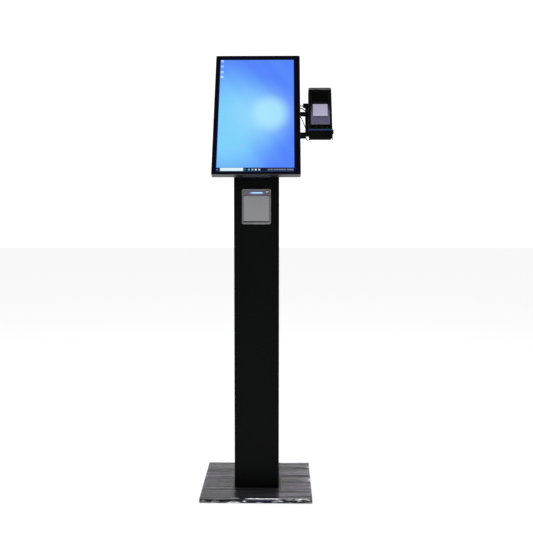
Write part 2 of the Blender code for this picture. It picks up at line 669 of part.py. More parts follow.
def make_display(frame):
    half_width = DISPLAY_WIDTH / 2
    middle = DISPLAY_HEIGHT / 2
    case = span("display_frame", (-half_width, 0, 0), (half_width, FRAME_DEPTH, DISPLAY_HEIGHT),
                "black_powder", frame, corner=0.005, along=1)
    soften(case, 0.0008)
    rim = 0.0028
    pocket = span("panel_pocket", (-half_width + rim, -0.01, rim),
                  (half_width - rim, 0.019, DISPLAY_HEIGHT - rim), frame=frame,
                  corner=0.003, along=1)
    window = block("frame_window", (0.200, 0.02, 0.360), (0, 0.022, 0.291), frame=frame)
    cut(case, pocket, window)
    inset = rim + GAP
    span("display_glass", (-half_width + inset, 0.0002, inset),
         (half_width - inset, 0.0002 + GLASS_THICKNESS, DISPLAY_HEIGHT - inset), "screen", frame,
         corner=0.0027, along=1)
    block("lcd_panel", (0.305, 0.014, 0.535), (0, 0.0106, 0.2765), "black_plastic", frame)
    span("main_board", (-0.095, 0.0290, 0.220), (0.095, 0.0306, 0.380), "board_green", frame)
    for side, x in (("left", -0.085), ("right", 0.085)):
        speaker = block(f"speaker_{side}", (0.070, 0.018, 0.026), (x, 0.0360, 0.0850),
                        "black_plastic", frame)
        soften(speaker, 0.002)
    make_rear_housing(frame)
    make_tilt_bracket(frame)


def make_rear_housing(frame):
    half = HOUSING_HALF_WIDTH
    front = FRAME_DEPTH + GAP
    wall = HOUSING_WALL
    housing = span("rear_housing", (-half, front, HOUSING_BOTTOM),
                   (half, HOUSING_BACK, HOUSING_TOP), "black_powder", frame, corner=0.006, along=1)
    soften(housing, 0.0015)
    hollow = span("housing_inside", (-half + wall, 0, HOUSING_BOTTOM + wall),
                  (half - wall, HOUSING_BACK - wall, HOUSING_TOP - wall), frame=frame,
                  corner=0.005, along=1)
    button = (0.090, 0.036, HOUSING_BOTTOM)
    button_hole = rod("display_button_hole", 0.0044, 0.01, button, "Z", frame=frame, sides=16)
    vents = slot_bank("housing_vents", (0.056, 0.02, 0.003),
                      [(x, HOUSING_BACK, 0.400 + 0.009 * row)
                       for x in (-0.070, 0.070) for row in range(11)], frame)
    cut(housing, hollow, button_hole, vents)
    button_frame = Frame("display_button_axis", button, frame)
    turned("display_button", [(0, 0.0040), (0.0060, 0.0040), (0.0060, 0.0026), (0.0041, 0.0026),
                              (0.0041, -0.0016), (0.0035, -0.0022), (0, -0.0022)],
           button, "Z", "black_plastic", button_frame, steps=16)


def make_tilt_bracket(frame):
    """The plate on the display's back, with two ears that turn on the tilt bolts."""
    back = HOUSING_BACK + GAP
    bracket = span("vesa_bracket", (-0.060, back, 0.190), (0.060, back + 0.003, 0.345),
                   "black_powder", frame)
    y = TILT_AXIS.y
    z = TILT_AXIS.z
    ear = [(back + 0.001, 0.222), (back + 0.001, 0.192)] + arc((y, z), 0.014, -100, 100, 10)
    for side, x in (("left", -BRACKET_EAR_X), ("right", BRACKET_EAR_X)):
        join(bracket, plate(f"bracket_ear_{side}", [ear, circle((y, z), TILT_BOLT_RADIUS + GAP)],
                            BRACKET_EAR_THICKNESS, (x, 0, 0), "X", frame=frame))
    cable_window = block("bracket_window", (0.050, 0.02, 0.040), (0, back, 0.2810), frame=frame,
                         corner=0.006, along=1)
    cut(bracket, cable_window)


def make_yoke(axis_point):
    """The fixed fork on the post's cap, and the bolts that the display turns on."""
    floor = POST_TOP + 2 * GAP + 0.003
    yoke = span("tilt_yoke", (-0.056, -0.014, floor), (0.056, 0.060, floor + 0.004),
                "black_powder", corner=0.006)
    y = axis_point.y
    z = axis_point.z
    ear = [(-0.010, floor + 0.001), (0.058, floor + 0.001)] + arc((y, z), 0.016, -15, 165, 10)
    for side, x in (("left", -YOKE_EAR_X), ("right", YOKE_EAR_X)):
        join(yoke, plate(f"yoke_ear_{side}", [ear, circle((y, z), TILT_BOLT_RADIUS + GAP)],
                         YOKE_EAR_THICKNESS, (x, 0, 0), "X"))
    outer = YOKE_EAR_X + YOKE_EAR_THICKNESS / 2 + GAP
    inner = BRACKET_EAR_X - BRACKET_EAR_THICKNESS / 2 - 0.003
    radius = TILT_BOLT_RADIUS
    profile = [(0, outer + 0.006), (0.0080, outer + 0.006), (0.0090, outer + 0.005),
               (0.0090, outer), (radius, outer), (radius, inner), (0, inner)]
    turned("tilt_bolt_right", profile, (0, y, z), "X", "steel")
    left = turned("tilt_bolt_left", profile, (0, y, z), "X", "steel")
    left.rotation_euler = (0, -math.pi / 2, 0)


def make_terminal(frame):
    low_x = HOLDER_X - HOLDER_WIDTH / 2
    high_x = HOLDER_X + HOLDER_WIDTH / 2
    window_half = WINDOW_WIDTH / 2
    wall = HOLDER_WALL
    holder = span("terminal_holder", (low_x, HOLDER_FRONT, HOLDER_BOTTOM),
                  (high_x, HOUSING_BACK, HOLDER_TOP), "black_powder", frame,
                  corner=0.005, along=1, steps=4)
    soften(holder, 0.0012, 2)
    hollow = span("holder_hollow", (low_x + wall, HOLDER_FRONT + wall, HOLDER_BOTTOM + wall),
                  (high_x - wall, 0.06, HOLDER_TOP - wall), frame=frame, corner=0.003, along=1)
    window = span("holder_window", (HOLDER_X - window_half, -0.01, WINDOW_BOTTOM),
                  (HOLDER_X + window_half, 0.01, WINDOW_TOP), frame=frame, corner=0.003, along=1)
    cut(holder, hollow, window)
    back = HOLDER_FRONT + SKIRT_RETURN
    left = low_x + 0.0015
    join(holder, span("holder_skirt", (left, HOLDER_FRONT, SKIRT_BOTTOM),
                      (high_x, HOLDER_FRONT + wall, 0.1985), frame=frame))
    for side, x in (("left", left), ("right", high_x - wall)):
        join(holder, span(f"holder_skirt_{side}", (x, HOLDER_FRONT, SKIRT_BOTTOM),
                          (x + wall, back, 0.1985), frame=frame))
    lip = span("card_lip", (low_x - 0.001, -0.0040, 0.1925), (high_x + 0.001, -0.0013, 0.2025),
               "slate_blue", frame)
    soften(lip, 0.0010, 2)
    lock_frame = Frame("holder_lock_axis", HOLDER_LOCK, frame)
    turned("holder_lock", [(0, 0.0045), (0.0072, 0.0045), (0.0086, 0.0034), (0.0090, GAP),
                           (0, GAP)], HOLDER_LOCK, "X", "black_plastic", lock_frame, steps=20)

    outline = [(0.085, 0.196), (0.191, 0.196), (0.191, 0.2055), (0.2058, 0.2055),
               (0.2058, 0.190), (0.290, 0.190), (0.290, 0.3985),
               (0.204, 0.3985), (0.204, 0.352), (0.190, 0.352), (0.190, 0.3215), (0.085, 0.3215)]
    lead_window = rectangle((0.1545, 0.2238), (0.1895, 0.3013), 0.003)
    plate("terminal_bracket", [outline, lead_window], BRACKET_THICKNESS,
          (0, BRACKET_BACK - BRACKET_THICKNESS / 2, 0), "Y", "black_powder", frame)
    make_terminal_body(frame)
    for name, (diameter, points) in LEADS.items():
        lead(name, diameter, points, "rubber", frame)


def make_terminal_body(frame):
    half = 0.0408
    body = span("terminal_body", (HOLDER_X - half, TERMINAL_FRONT, 0.1965),
                (HOLDER_X + half, 0.030, 0.3915), "black_plastic", frame)
    head = span("terminal_head", (HOLDER_X - half, TERMINAL_FRONT, 0.325),
                (HOLDER_X + half, 0.047, 0.3915), frame=frame)
    join(body, head)
    screen_pocket = span("screen_pocket", (HOLDER_X - 0.0373, 0, 0.2050),
                         (HOLDER_X + 0.0373, 0.0029, 0.3290), frame=frame)
    roll_pocket = span("roll_pocket", (HOLDER_X - 0.0330, 0, 0.3325),
                       (HOLDER_X + 0.0330, 0.0445, 0.3826), frame=frame)
    cut(body, screen_pocket, roll_pocket)
    span("terminal_screen", (HOLDER_X - 0.0370, 0.0010, 0.2053), (HOLDER_X + 0.0370, 0.0026, 0.3287),
         "lavender", frame, corner=0.002, along=1)
    cover_frame = Frame("terminal_cover_axis", COVER_HINGE, frame)
    cover = span("terminal_cover", (HOLDER_X - 0.0326, 0.0010, 0.3335),
                 (HOLDER_X + 0.0326, 0.0034, 0.3820), "gloss_black", cover_frame)
    soften(cover, 0.0005)
    roll_frame = Frame("terminal_roll_axis", TERMINAL_ROLL, frame)
    ring("terminal_paper_roll", 0.0050, 0.0190, -0.0287, 0.0287, TERMINAL_ROLL, "X", "paper",
         roll_frame, steps=32)


def make_kiosk():
    make_base()
    make_film()
    make_post()
    make_rear_door()
    make_mains_inlet()
    make_printer()
    tilt = Matrix.Rotation(-TILT, 3, "X")
    axis_point = DISPLAY_EDGE + tilt @ TILT_AXIS
    tilt_frame = Frame("tilt_axis", TILT_AXIS, location=axis_point, tilt=-TILT)
    make_display(tilt_frame)
    make_yoke(axis_point)
    make_terminal(tilt_frame)


make_kiosk()
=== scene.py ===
"""Looks of the touchscreen kiosk: its finished casings, screens, clear wrap, leads and fasteners,
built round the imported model. Metres, +Z up, front towards -Y."""

import json
import math

import bmesh
import bpy
from mathutils import Matrix, Vector, noise

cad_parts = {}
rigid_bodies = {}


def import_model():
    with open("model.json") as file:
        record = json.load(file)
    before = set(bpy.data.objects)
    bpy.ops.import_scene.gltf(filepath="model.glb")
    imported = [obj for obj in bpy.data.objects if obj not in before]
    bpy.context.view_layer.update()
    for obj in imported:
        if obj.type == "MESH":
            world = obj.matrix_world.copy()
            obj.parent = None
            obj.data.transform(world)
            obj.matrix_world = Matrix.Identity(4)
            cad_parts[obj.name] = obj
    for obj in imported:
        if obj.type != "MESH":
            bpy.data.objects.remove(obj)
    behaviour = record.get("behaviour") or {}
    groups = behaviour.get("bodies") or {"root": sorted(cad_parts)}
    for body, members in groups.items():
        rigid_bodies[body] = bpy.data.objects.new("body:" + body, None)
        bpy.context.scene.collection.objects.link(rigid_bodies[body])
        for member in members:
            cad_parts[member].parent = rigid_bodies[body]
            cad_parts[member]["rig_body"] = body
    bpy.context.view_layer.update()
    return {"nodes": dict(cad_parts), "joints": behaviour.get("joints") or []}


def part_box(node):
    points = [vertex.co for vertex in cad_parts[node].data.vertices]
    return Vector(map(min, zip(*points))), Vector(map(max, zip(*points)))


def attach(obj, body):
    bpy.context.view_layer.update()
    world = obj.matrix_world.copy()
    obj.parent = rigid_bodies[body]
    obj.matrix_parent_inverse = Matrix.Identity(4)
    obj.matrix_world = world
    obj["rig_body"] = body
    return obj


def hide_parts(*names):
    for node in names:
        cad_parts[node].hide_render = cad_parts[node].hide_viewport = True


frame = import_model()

SCENE = bpy.context.scene
JOINTS = {joint["name"]: joint for joint in frame["joints"]}

# Display coordinates: x across, y back from its face, z up it, from the middle of its lower front
# edge. TILT_POINT is where the tilt hinge's axis lies in them.
POWER_AXIS = JOINTS["power_press"]["axis"]
TILT = math.atan2(POWER_AXIS[1], POWER_AXIS[2])
TILT_POINT = Vector((0, 0.084, 0.200))
DISPLAY = (Matrix.Translation(JOINTS["display_tilt"]["pos_m"])
           @ Matrix.Rotation(-TILT, 4, "X") @ Matrix.Translation(-TILT_POINT))

# The lit picture on the display
PICTURE_LEFT = -0.1504
PICTURE_WIDTH = 0.2950
PICTURE_BOTTOM = 0.0128
PICTURE_HEIGHT = 0.5272

# Holder, its bracket and the display's housing, in display coordinates
HOLDER_X = 0.2475
HOLDER_LEFT = 0.202
HOLDER_BOTTOM = 0.192
HOUSING_SIDE = 0.1395
HOUSING_BACK = 0.050
MOUNT_PLATE_BACK = 0.0533
BRACKET_BACK = 0.0543
GAP = 0.0003

# Post, base and printer
BASE_LOW, BASE_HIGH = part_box("base_cover")
POST_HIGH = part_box("post_shell")[1]
BEZEL_LOW, BEZEL_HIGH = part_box("printer_bezel")
INLET_LOW, INLET_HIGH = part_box("mains_inlet")
LIGHT_LOW, LIGHT_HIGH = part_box("printer_light_bar")
LIGHT_MIDDLE = (LIGHT_LOW.z + LIGHT_HIGH.z) / 2
BUTTON_LOW, BUTTON_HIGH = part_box("printer_button")

# Leads from the display's housing to the holder: diameter, and the route each one takes
LEAD_START_X = HOUSING_SIDE + GAP
LEAD_END_X = HOLDER_LEFT - GAP
LEAD_STUB = 0.005
LEADS = {
    "data_lead": (0.0042, [
        (LEAD_START_X, 0.036, 0.337), (LEAD_START_X + LEAD_STUB, 0.036, 0.337),
        (0.155, 0.036, 0.3385), (0.168, 0.0365, 0.3400), (0.181, 0.037, 0.3395),
        (0.190, 0.037, 0.3378), (LEAD_END_X - LEAD_STUB, 0.037, 0.3370),
        (LEAD_END_X, 0.037, 0.3370)]),
    "power_lead": (0.0042, [
        (LEAD_START_X, 0.043, 0.3265), (LEAD_START_X + LEAD_STUB, 0.043, 0.3265),
        (0.155, 0.043, 0.3280), (0.164, 0.042, 0.3300), (0.172, 0.041, 0.3306),
        (0.178, 0.040, 0.3280), (0.184, 0.039, 0.3225), (0.190, 0.037, 0.3162),
        (LEAD_END_X - LEAD_STUB, 0.036, 0.3150), (LEAD_END_X, 0.036, 0.3150)]),
    "signal_lead": (0.0030, [
        (LEAD_START_X, 0.040, 0.293), (LEAD_START_X + LEAD_STUB, 0.040, 0.293),
        (0.154, 0.041, 0.2955), (0.164, 0.041, 0.2950), (0.1725, 0.040, 0.2865),
        (0.1795, 0.039, 0.2690), (0.1860, 0.038, 0.2480), (0.1920, 0.038, 0.2270),
        (0.1935, 0.037, 0.2050), (0.1922, 0.036, 0.1900), (0.1925, 0.036, 0.1825),
        (0.1950, 0.036, 0.1777), (0.1985, 0.0355, 0.1763), (0.2022, 0.035, 0.1782),
        (0.2048, 0.035, 0.1830), (0.2052, 0.035, 0.1875),
        (0.2052, 0.035, HOLDER_BOTTOM - GAP)]),
}


# ---------------------------------------------------------------- node building

class Wiring:
    """Short calls that add nodes to one node tree."""

    def __init__(self, tree):
        self.tree = tree

    def node(self, kind, inputs=(), **settings):
        """A node with the given settings, and with values or links on its inputs by name."""
        made = self.tree.nodes.new(kind)
        for key, value in settings.items():
            setattr(made, key, value)
        for name, value in dict(inputs).items():
            self.feed(made.inputs[name], value)
        return made

    def feed(self, socket, value):
        """Links an output to the socket, or sets a plain value on it."""
        if isinstance(value, bpy.types.NodeSocket):
            self.tree.links.new(value, socket)
        else:
            socket.default_value = value

    def calc(self, operation, *values, clamp=False):
        made = self.node("ShaderNodeMath", operation=operation, use_clamp=clamp)
        for socket, value in zip(made.inputs, values):
            self.feed(socket, value)
        return made.outputs[0]

    def diagonal(self, side, rise):
        """The length of a line with the given run to the side and rise."""
        return self.calc("SQRT", self.calc("ADD", self.calc("MULTIPLY", side, side),
                                           self.calc("MULTIPLY", rise, rise)))

    def ramp(self, value, low, high, start=0.0, end=1.0):
        """Runs smoothly from start to end as the value goes from low to high."""
        made = self.node("ShaderNodeMapRange", {"Value": value, "From Min": low, "From Max": high,
                                                "To Min": start, "To Max": end},
                         interpolation_type="SMOOTHSTEP")
        return made.outputs["Result"]

    def blend(self, factor, first, second, how="MIX"):
        made = self.node("ShaderNodeMix", data_type="RGBA", blend_type=how)
        for name, value in (("Factor_Float", factor), ("A_Color", first), ("B_Color", second)):
            socket = next(s for s in made.inputs if s.identifier == name)
            self.feed(socket, value)
        return next(s for s in made.outputs if s.identifier == "Result_Color")

    def toned(self, colour, tone):
        """A colour made lighter or darker by one factor."""
        shade = self.node("ShaderNodeCombineColor", {"Red": tone, "Green": tone, "Blue": tone})
        return self.blend(1.0, colour, shade.outputs[0], "MULTIPLY")

    def noise(self, vector, scale, detail=2.0, roughness=0.5):
        return self.node("ShaderNodeTexNoise", {"Vector": vector, "Scale": scale,
                                                "Detail": detail,
                                                "Roughness": roughness}).outputs[0]

    def place(self):
        return self.node("ShaderNodeTexCoord").outputs["Object"]

    def mapping(self, vector, location=(0, 0, 0), rotation=(0, 0, 0), scale=(1, 1, 1)):
        return self.node("ShaderNodeMapping", {"Vector": vector, "Location": location,
                                               "Rotation": rotation,
                                               "Scale": scale}).outputs[0]

    def split(self, vector):
        return self.node("ShaderNodeSeparateXYZ", {"Vector": vector}).outputs

    def attribute(self, name):
        return self.node("ShaderNodeAttribute", attribute_name=name).outputs["Fac"]

    def group(self, group, **values):
        """A shader group with its inputs fed. Their names are in lower case here."""
        return self.node("ShaderNodeGroup", {name.replace("_", " ").title(): value
                                             for name, value in values.items()},
                         node_tree=group).outputs

    def finish(self, shader, made):
        """Gives the shader the colour and roughness that a group makes."""
        self.feed(shader["Base Color"], made["Colour"])
        self.feed(shader["Roughness"], made["Roughness"])

    def relief(self, shader, height, strength, depth):
        """Feeds a bump to the shader's normal. Depth is in metres."""
        made = self.node("ShaderNodeBump", {"Height": height, "Strength": strength,
                                            "Distance": depth})
        self.feed(shader["Normal"], made.outputs[0])


# ---------------------------------------------------------------- camera, lights and stage

def linear(red, green, blue):
    """A display colour, 0 to 255, as the light values that shaders use."""
    def channel(value):
        share = value / 255
        return share / 12.92 if share <= 0.04045 else ((share + 0.055) / 1.055) ** 2.4
    return (channel(red), channel(green), channel(blue), 1)


def make_camera():
    """A camera at chest height, aimed a little down and to the left."""
    camera = bpy.data.cameras.new("camera")
    camera.lens = 53.95
    camera.sensor_width = 36
    camera.clip_end = 60
    obj = bpy.data.objects.new("camera", camera)
    obj.location = (0.0995, -3.1483, 1.1174)
    obj.rotation_euler = (math.radians(90 - 4.12), 0, math.radians(1.13))
    SCENE.collection.objects.link(obj)
    SCENE.camera = obj


def make_softbox(name, location, target, size, power):
    """A soft rectangular light that no gloss shows."""
    light = bpy.data.lights.new(name, "AREA")
    light.shape = "RECTANGLE"
    light.size = size[0]
    light.size_y = size[1]
    light.energy = power
    obj = bpy.data.objects.new(name, light)
    obj.location = location
    aim = Vector(target) - Vector(location)
    obj.rotation_euler = aim.to_track_quat("-Z", "Y").to_euler()
    obj.visible_glossy = False
    SCENE.collection.objects.link(obj)


def whiten_for_camera(material):
    """Shows the floor nearly white out to its horizon, with a trace of shadow on it."""
    white_share = 0.88
    wires = Wiring(material.node_tree)
    seen = wires.node("ShaderNodeLightPath").outputs["Is Camera Ray"]
    mix = wires.node("ShaderNodeMixShader")
    sources = (wires.calc("MULTIPLY", seen, white_share),
               wires.tree.nodes["Principled BSDF"].outputs[0],
               wires.node("ShaderNodeEmission").outputs[0])
    for socket, source in zip(mix.inputs, sources):
        wires.feed(socket, source)
    wires.feed(wires.tree.nodes["Material Output"].inputs["Surface"], mix.outputs[0])


def make_studio():
    """White surroundings that are bright behind and dim in front, and three soft lights."""
    world = bpy.data.worlds.new("studio")
    SCENE.world = world
    world.use_nodes = True
    wires = Wiring(world.node_tree)
    direction = wires.split(wires.node("ShaderNodeTexCoord").outputs["Generated"])
    depth = wires.ramp(direction["Y"], -0.35, 0.55, 0.16, 0.95)
    seen = wires.node("ShaderNodeLightPath").outputs["Is Camera Ray"]
    mix = wires.node("ShaderNodeMix", data_type="FLOAT")
    for name, value in (("Factor", seen), ("A", depth), ("B", 1.15)):
        wires.feed(mix.inputs[name], value)
    background = wires.tree.nodes["Background"].inputs
    wires.feed(background["Strength"], mix.outputs["Result"])
    background["Color"].default_value = (1, 1, 1, 1)

    make_softbox("overhead", (0, 0.2, 4.2), (0, 0, 0), (5.0, 5.0), 300)
    make_softbox("front_left", (-2.4, -3.0, 2.6), (0, 0, 1.0), (1.8, 2.4), 75)
    make_softbox("front_right", (2.8, -2.4, 2.2), (0, 0, 1.0), (1.6, 2.2), 45)

    bpy.ops.mesh.primitive_plane_add(size=40, location=(0, 0, 0))
    floor = bpy.context.object
    floor.name = "studio_floor"
    material = bpy.data.materials.new("studio_floor")
    material.use_nodes = True
    shader = material.node_tree.nodes["Principled BSDF"]
    shader.inputs["Base Color"].default_value = (0.90, 0.90, 0.90, 1)
    shader.inputs["Roughness"].default_value = 0.9
    floor.data.materials.append(material)
    whiten_for_camera(material)
    SCENE.view_settings.view_transform = "Standard"


# ---------------------------------------------------------------- shader building

def new_group(name, inputs, outputs):
    """A shader group with named sockets: inputs (name, kind, value), outputs (name, kind)."""
    tree = bpy.data.node_groups.new(name, "ShaderNodeTree")
    for socket, kind, value in inputs:
        made = tree.interface.new_socket(socket, in_out="INPUT", socket_type="NodeSocket" + kind)
        made.default_value = value
    for socket, kind in outputs:
        tree.interface.new_socket(socket, in_out="OUTPUT", socket_type="NodeSocket" + kind)
    wires = Wiring(tree)
    entry = wires.node("NodeGroupInput").outputs
    leave = wires.node("NodeGroupOutput").inputs
    return tree, wires, entry, leave


def make_grain_group():
    """Fine surface grain, with slow patches that shift its colour and gloss."""
    tree, wires, entry, leave = new_group(
        "surface_grain",
        [("Colour", "Color", (0.1, 0.1, 0.1, 1)), ("Grain Scale", "Float", 900.0),
         ("Patch Scale", "Float", 9.0), ("Patch Strength", "Float", 0.15),
         ("Roughness", "Float", 0.4), ("Roughness Swing", "Float", 0.08)],
        [("Colour", "Color"), ("Roughness", "Float"), ("Height", "Float")])
    where = wires.place()
    fine = wires.noise(where, entry["Grain Scale"], 3.0, 0.6)
    patch = wires.calc("SUBTRACT", wires.noise(where, entry["Patch Scale"], 3.0), 0.5)
    gain = wires.calc("MULTIPLY_ADD", patch, entry["Patch Strength"], 1.0)
    speck = wires.calc("MULTIPLY_ADD", wires.calc("SUBTRACT", fine, 0.5), 0.25, gain)
    wires.feed(leave["Colour"], wires.toned(entry["Colour"], speck))
    swing = wires.calc("MULTIPLY", patch, entry["Roughness Swing"])
    wires.feed(leave["Roughness"], wires.calc("ADD", entry["Roughness"], swing, clamp=True))
    wires.feed(leave["Height"], fine)
    return tree


def make_wear_group():
    """Rubbed edges and corners: lighter and smoother where the piece's edge value is high."""
    tree, wires, entry, leave = new_group(
        "edge_wear",
        [("Colour", "Color", (0.1, 0.1, 0.1, 1)), ("Worn Colour", "Color", (0.3, 0.3, 0.3, 1)),
         ("Roughness", "Float", 0.4), ("Amount", "Float", 0.4)],
        [("Colour", "Color"), ("Roughness", "Float")])
    broken = wires.ramp(wires.noise(wires.place(), 70.0, 4.0, 0.65), 0.38, 0.66)
    mask = wires.calc("MULTIPLY", wires.attribute("edge"), broken)
    mask = wires.calc("MULTIPLY", mask, entry["Amount"], clamp=True)
    wires.feed(leave["Colour"], wires.blend(mask, entry["Colour"], entry["Worn Colour"]))
    rubbed = wires.calc("MULTIPLY", mask, -0.15)
    wires.feed(leave["Roughness"], wires.calc("ADD", entry["Roughness"], rubbed, clamp=True))
    return tree


def make_dust_group():
    """A thin uneven layer of dust on what faces up."""
    tree, wires, entry, leave = new_group(
        "settled_dust",
        [("Colour", "Color", (0.1, 0.1, 0.1, 1)), ("Roughness", "Float", 0.4),
         ("Amount", "Float", 0.1)],
        [("Colour", "Color"), ("Roughness", "Float")])
    up = wires.split(wires.node("ShaderNodeNewGeometry").outputs["Normal"])["Z"]
    lying = wires.ramp(up, 0.55, 0.98)
    uneven = wires.ramp(wires.noise(wires.place(), 38.0, 5.0, 0.7), 0.35, 0.75)
    mask = wires.calc("MULTIPLY", wires.calc("MULTIPLY", lying, uneven), entry["Amount"])
    wires.feed(leave["Colour"], wires.blend(mask, entry["Colour"], (0.32, 0.31, 0.29, 1)))
    rise = wires.calc("MULTIPLY", mask, 0.4)
    wires.feed(leave["Roughness"], wires.calc("ADD", entry["Roughness"], rise, clamp=True))
    return tree


def make_patch_group():
    """A soft-edged upright box on a flat picture: 1 inside it and 0 outside."""
    tree, wires, entry, leave = new_group(
        "picture_patch",
        [("Across", "Float", 0.0), ("Up", "Float", 0.0), ("Centre Across", "Float", 0.0),
         ("Centre Up", "Float", 0.0), ("Half Width", "Float", 0.01),
         ("Half Height", "Float", 0.01), ("Softness", "Float", 0.001)],
        [("Mask", "Float")])
    masks = []
    for value, centre, half in (("Across", "Centre Across", "Half Width"),
                                ("Up", "Centre Up", "Half Height")):
        away = wires.calc("ABSOLUTE", wires.calc("SUBTRACT", entry[value], entry[centre]))
        inside = wires.calc("SUBTRACT", entry[half], away)
        share = wires.calc("DIVIDE", inside, entry["Softness"])
        masks.append(wires.calc("ADD", share, 0.5, clamp=True))
    wires.feed(leave["Mask"], wires.calc("MULTIPLY", *masks))
    return tree


GRAIN = make_grain_group()
WEAR = make_wear_group()
DUST = make_dust_group()
PATCH = make_patch_group()


def bare_material(name, **sockets):
    """A material with one Principled shader, and its plain values on the shader's own sockets."""
    material = bpy.data.materials.new(name)
    material.use_nodes = True
    shader = material.node_tree.nodes["Principled BSDF"]
    for key, value in sockets.items():
        shader.inputs[key.replace("_", " ").title().replace("Ior", "IOR")].default_value = value
    return material, Wiring(material.node_tree), shader.inputs


def surface(name, colour, roughness, grain=900, bump=0.0004, patch=9, patch_strength=0.2,
            swing=0.08, worn=None, wear=0.4, dust=0.0, **sockets):
    """A grained finish with rubbed edges and dust. Bump is the grain's depth in metres."""
    material, wires, shader = bare_material(name, **sockets)
    made = wires.group(GRAIN, colour=(*colour, 1), grain_scale=grain, patch_scale=patch,
                       patch_strength=patch_strength, roughness=roughness,
                       roughness_swing=swing)
    height = made["Height"]
    if worn:
        made = wires.group(WEAR, colour=made["Colour"], worn_colour=(*worn, 1),
                           roughness=made["Roughness"], amount=wear)
    if dust:
        made = wires.group(DUST, colour=made["Colour"], roughness=made["Roughness"], amount=dust)
    wires.finish(shader, made)
    wires.relief(shader, height, 0.35, bump)
    return material


def make_brushed(name, colour, roughness, axis, **sockets):
    """Metal with fine lines drawn along one axis."""
    material, wires, shader = bare_material(name, metallic=1.0, **sockets)
    stretch = [900.0, 900.0, 900.0]
    stretch["XYZ".index(axis)] = 14.0
    lines = wires.noise(wires.mapping(wires.place(), scale=stretch), 1.0, 3.0, 0.6)
    tone = wires.ramp(lines, 0.3, 0.7, 0.86, 1.06)
    wires.feed(shader["Base Color"], wires.toned((*colour, 1), tone))
    wires.feed(shader["Roughness"], wires.ramp(lines, 0.3, 0.7, roughness - 0.06,
                                               roughness + 0.08))
    wires.relief(shader, lines, 0.15, 0.0002)
    return material


def make_base_gloss():
    """Gloss black lacquer with long faint ripples across the base."""
    material, wires, shader = bare_material("base_lacquer", specular_ior_level=0.07)
    where = wires.place()
    ripple = wires.noise(wires.mapping(where, scale=(2.2, 55.0, 55.0)), 1.0, 3.0, 0.55)
    haze = wires.noise(where, 14.0, 4.0, 0.6)
    made = wires.group(WEAR, colour=(0.006, 0.006, 0.007, 1), worn_colour=(0.10, 0.10, 0.11, 1),
                       roughness=wires.ramp(haze, 0.3, 0.7, 0.05, 0.13), amount=0.5)
    wires.finish(shader, made)
    wires.relief(shader, ripple, 0.25, 0.0008)
    return material


def make_wrap_film():
    """Clear film: hazy in long streaks where it lies flat, with painted white highlights where it
    bunches up, and a deep violet painted shade under its folds. The haze is partly a painted
    reflection."""
    material, wires, shader = bare_material("clear_wrap", ior=1.5)
    bunched_highlight = wires.attribute("bunched_highlight")
    painted_fold_shade = wires.attribute("painted_fold_shade")
    where = wires.place()
    x = wires.split(where)["X"]
    streak = wires.noise(wires.mapping(where, scale=(1.9, 98.0, 98.0)), 1.0, 3.0, 0.72)
    cloud = wires.noise(wires.mapping(where, scale=(5.0, 9.0, 9.0)), 1.0, 3.0)
    creases = wires.noise(where, 95.0, 4.0, 0.6)
    tint = wires.blend(wires.ramp(cloud, 0.4, 0.65), (0.34, 0.34, 0.37, 1),
                       (0.36, 0.32, 0.42, 1))
    # Painted highlight: where the film bunches up, its creases turn white.
    solid = wires.calc("MAXIMUM", wires.ramp(creases, 0.35, 0.6),
                       wires.ramp(bunched_highlight, 0.93, 1.0))
    white = wires.blend(solid, (0.30, 0.31, 0.36, 1), (0.92, 0.93, 0.97, 1))
    colour = wires.blend(bunched_highlight, tint, white)
    # Painted shade: a deep violet, nearly opaque, under the folds.
    wires.feed(shader["Base Color"], wires.blend(painted_fold_shade, colour, (0.006, 0.003, 0.044, 1)))
    wires.feed(shader["Roughness"], wires.ramp(streak, 0.3, 0.7, 0.10, 0.26))
    # Painted reflection: the haze stands in for the grey the film reflects, dimmed where the post
    # is reflected in it (clear) and brighter towards the right (side).
    clear = wires.ramp(wires.calc("ABSOLUTE", x), 0.070, 0.105, 0.15, 1.0)
    side = wires.ramp(x, 0.02, 0.21, 1.0, 1.45)
    haze = wires.calc("MULTIPLY", wires.ramp(streak, 0.43, 0.58, 0.004, 0.130),
                      wires.calc("MULTIPLY", clear, side))
    film = wires.calc("MULTIPLY_ADD", bunched_highlight, 0.80, haze)
    wires.feed(shader["Alpha"], wires.calc("MULTIPLY_ADD", painted_fold_shade, 0.88, film, clamp=True))
    crumple = wires.calc("ADD", streak, wires.calc("MULTIPLY", creases, bunched_highlight))
    wires.relief(shader, crumple, 0.4, 0.0006)
    return material


def display_place(wires):
    """Object coordinates turned into display coordinates."""
    inverse = DISPLAY.inverted()
    return wires.split(wires.mapping(wires.place(), location=inverse.translation,
                                     rotation=inverse.to_euler()))


SKY_DEEP = linear(84, 133, 251)
SKY_PALE = linear(128, 208, 252)
SKY_GLOW = linear(176, 233, 253)
# Small marks on the picture: where their middles are from its lower left corner, and their colour
DESK_ICONS = [(0.0070, 0.522, (205, 228, 255)), (0.0070, 0.495, (186, 238, 255)),
              (0.0070, 0.467, (206, 240, 255)), (0.0070, 0.443, (216, 246, 255))]
BAR_MARKS = [(0.1090, (84, 96, 120)), (0.1237, (90, 196, 222)), (0.1369, (176, 196, 206)),
             (0.1493, (226, 232, 246)), (0.1624, (206, 216, 236))]
TRAY_MARKS = [0.1990, 0.2095, 0.2210, 0.2310, 0.2410, 0.2500, 0.2590, 0.2710, 0.2800, 0.2880]


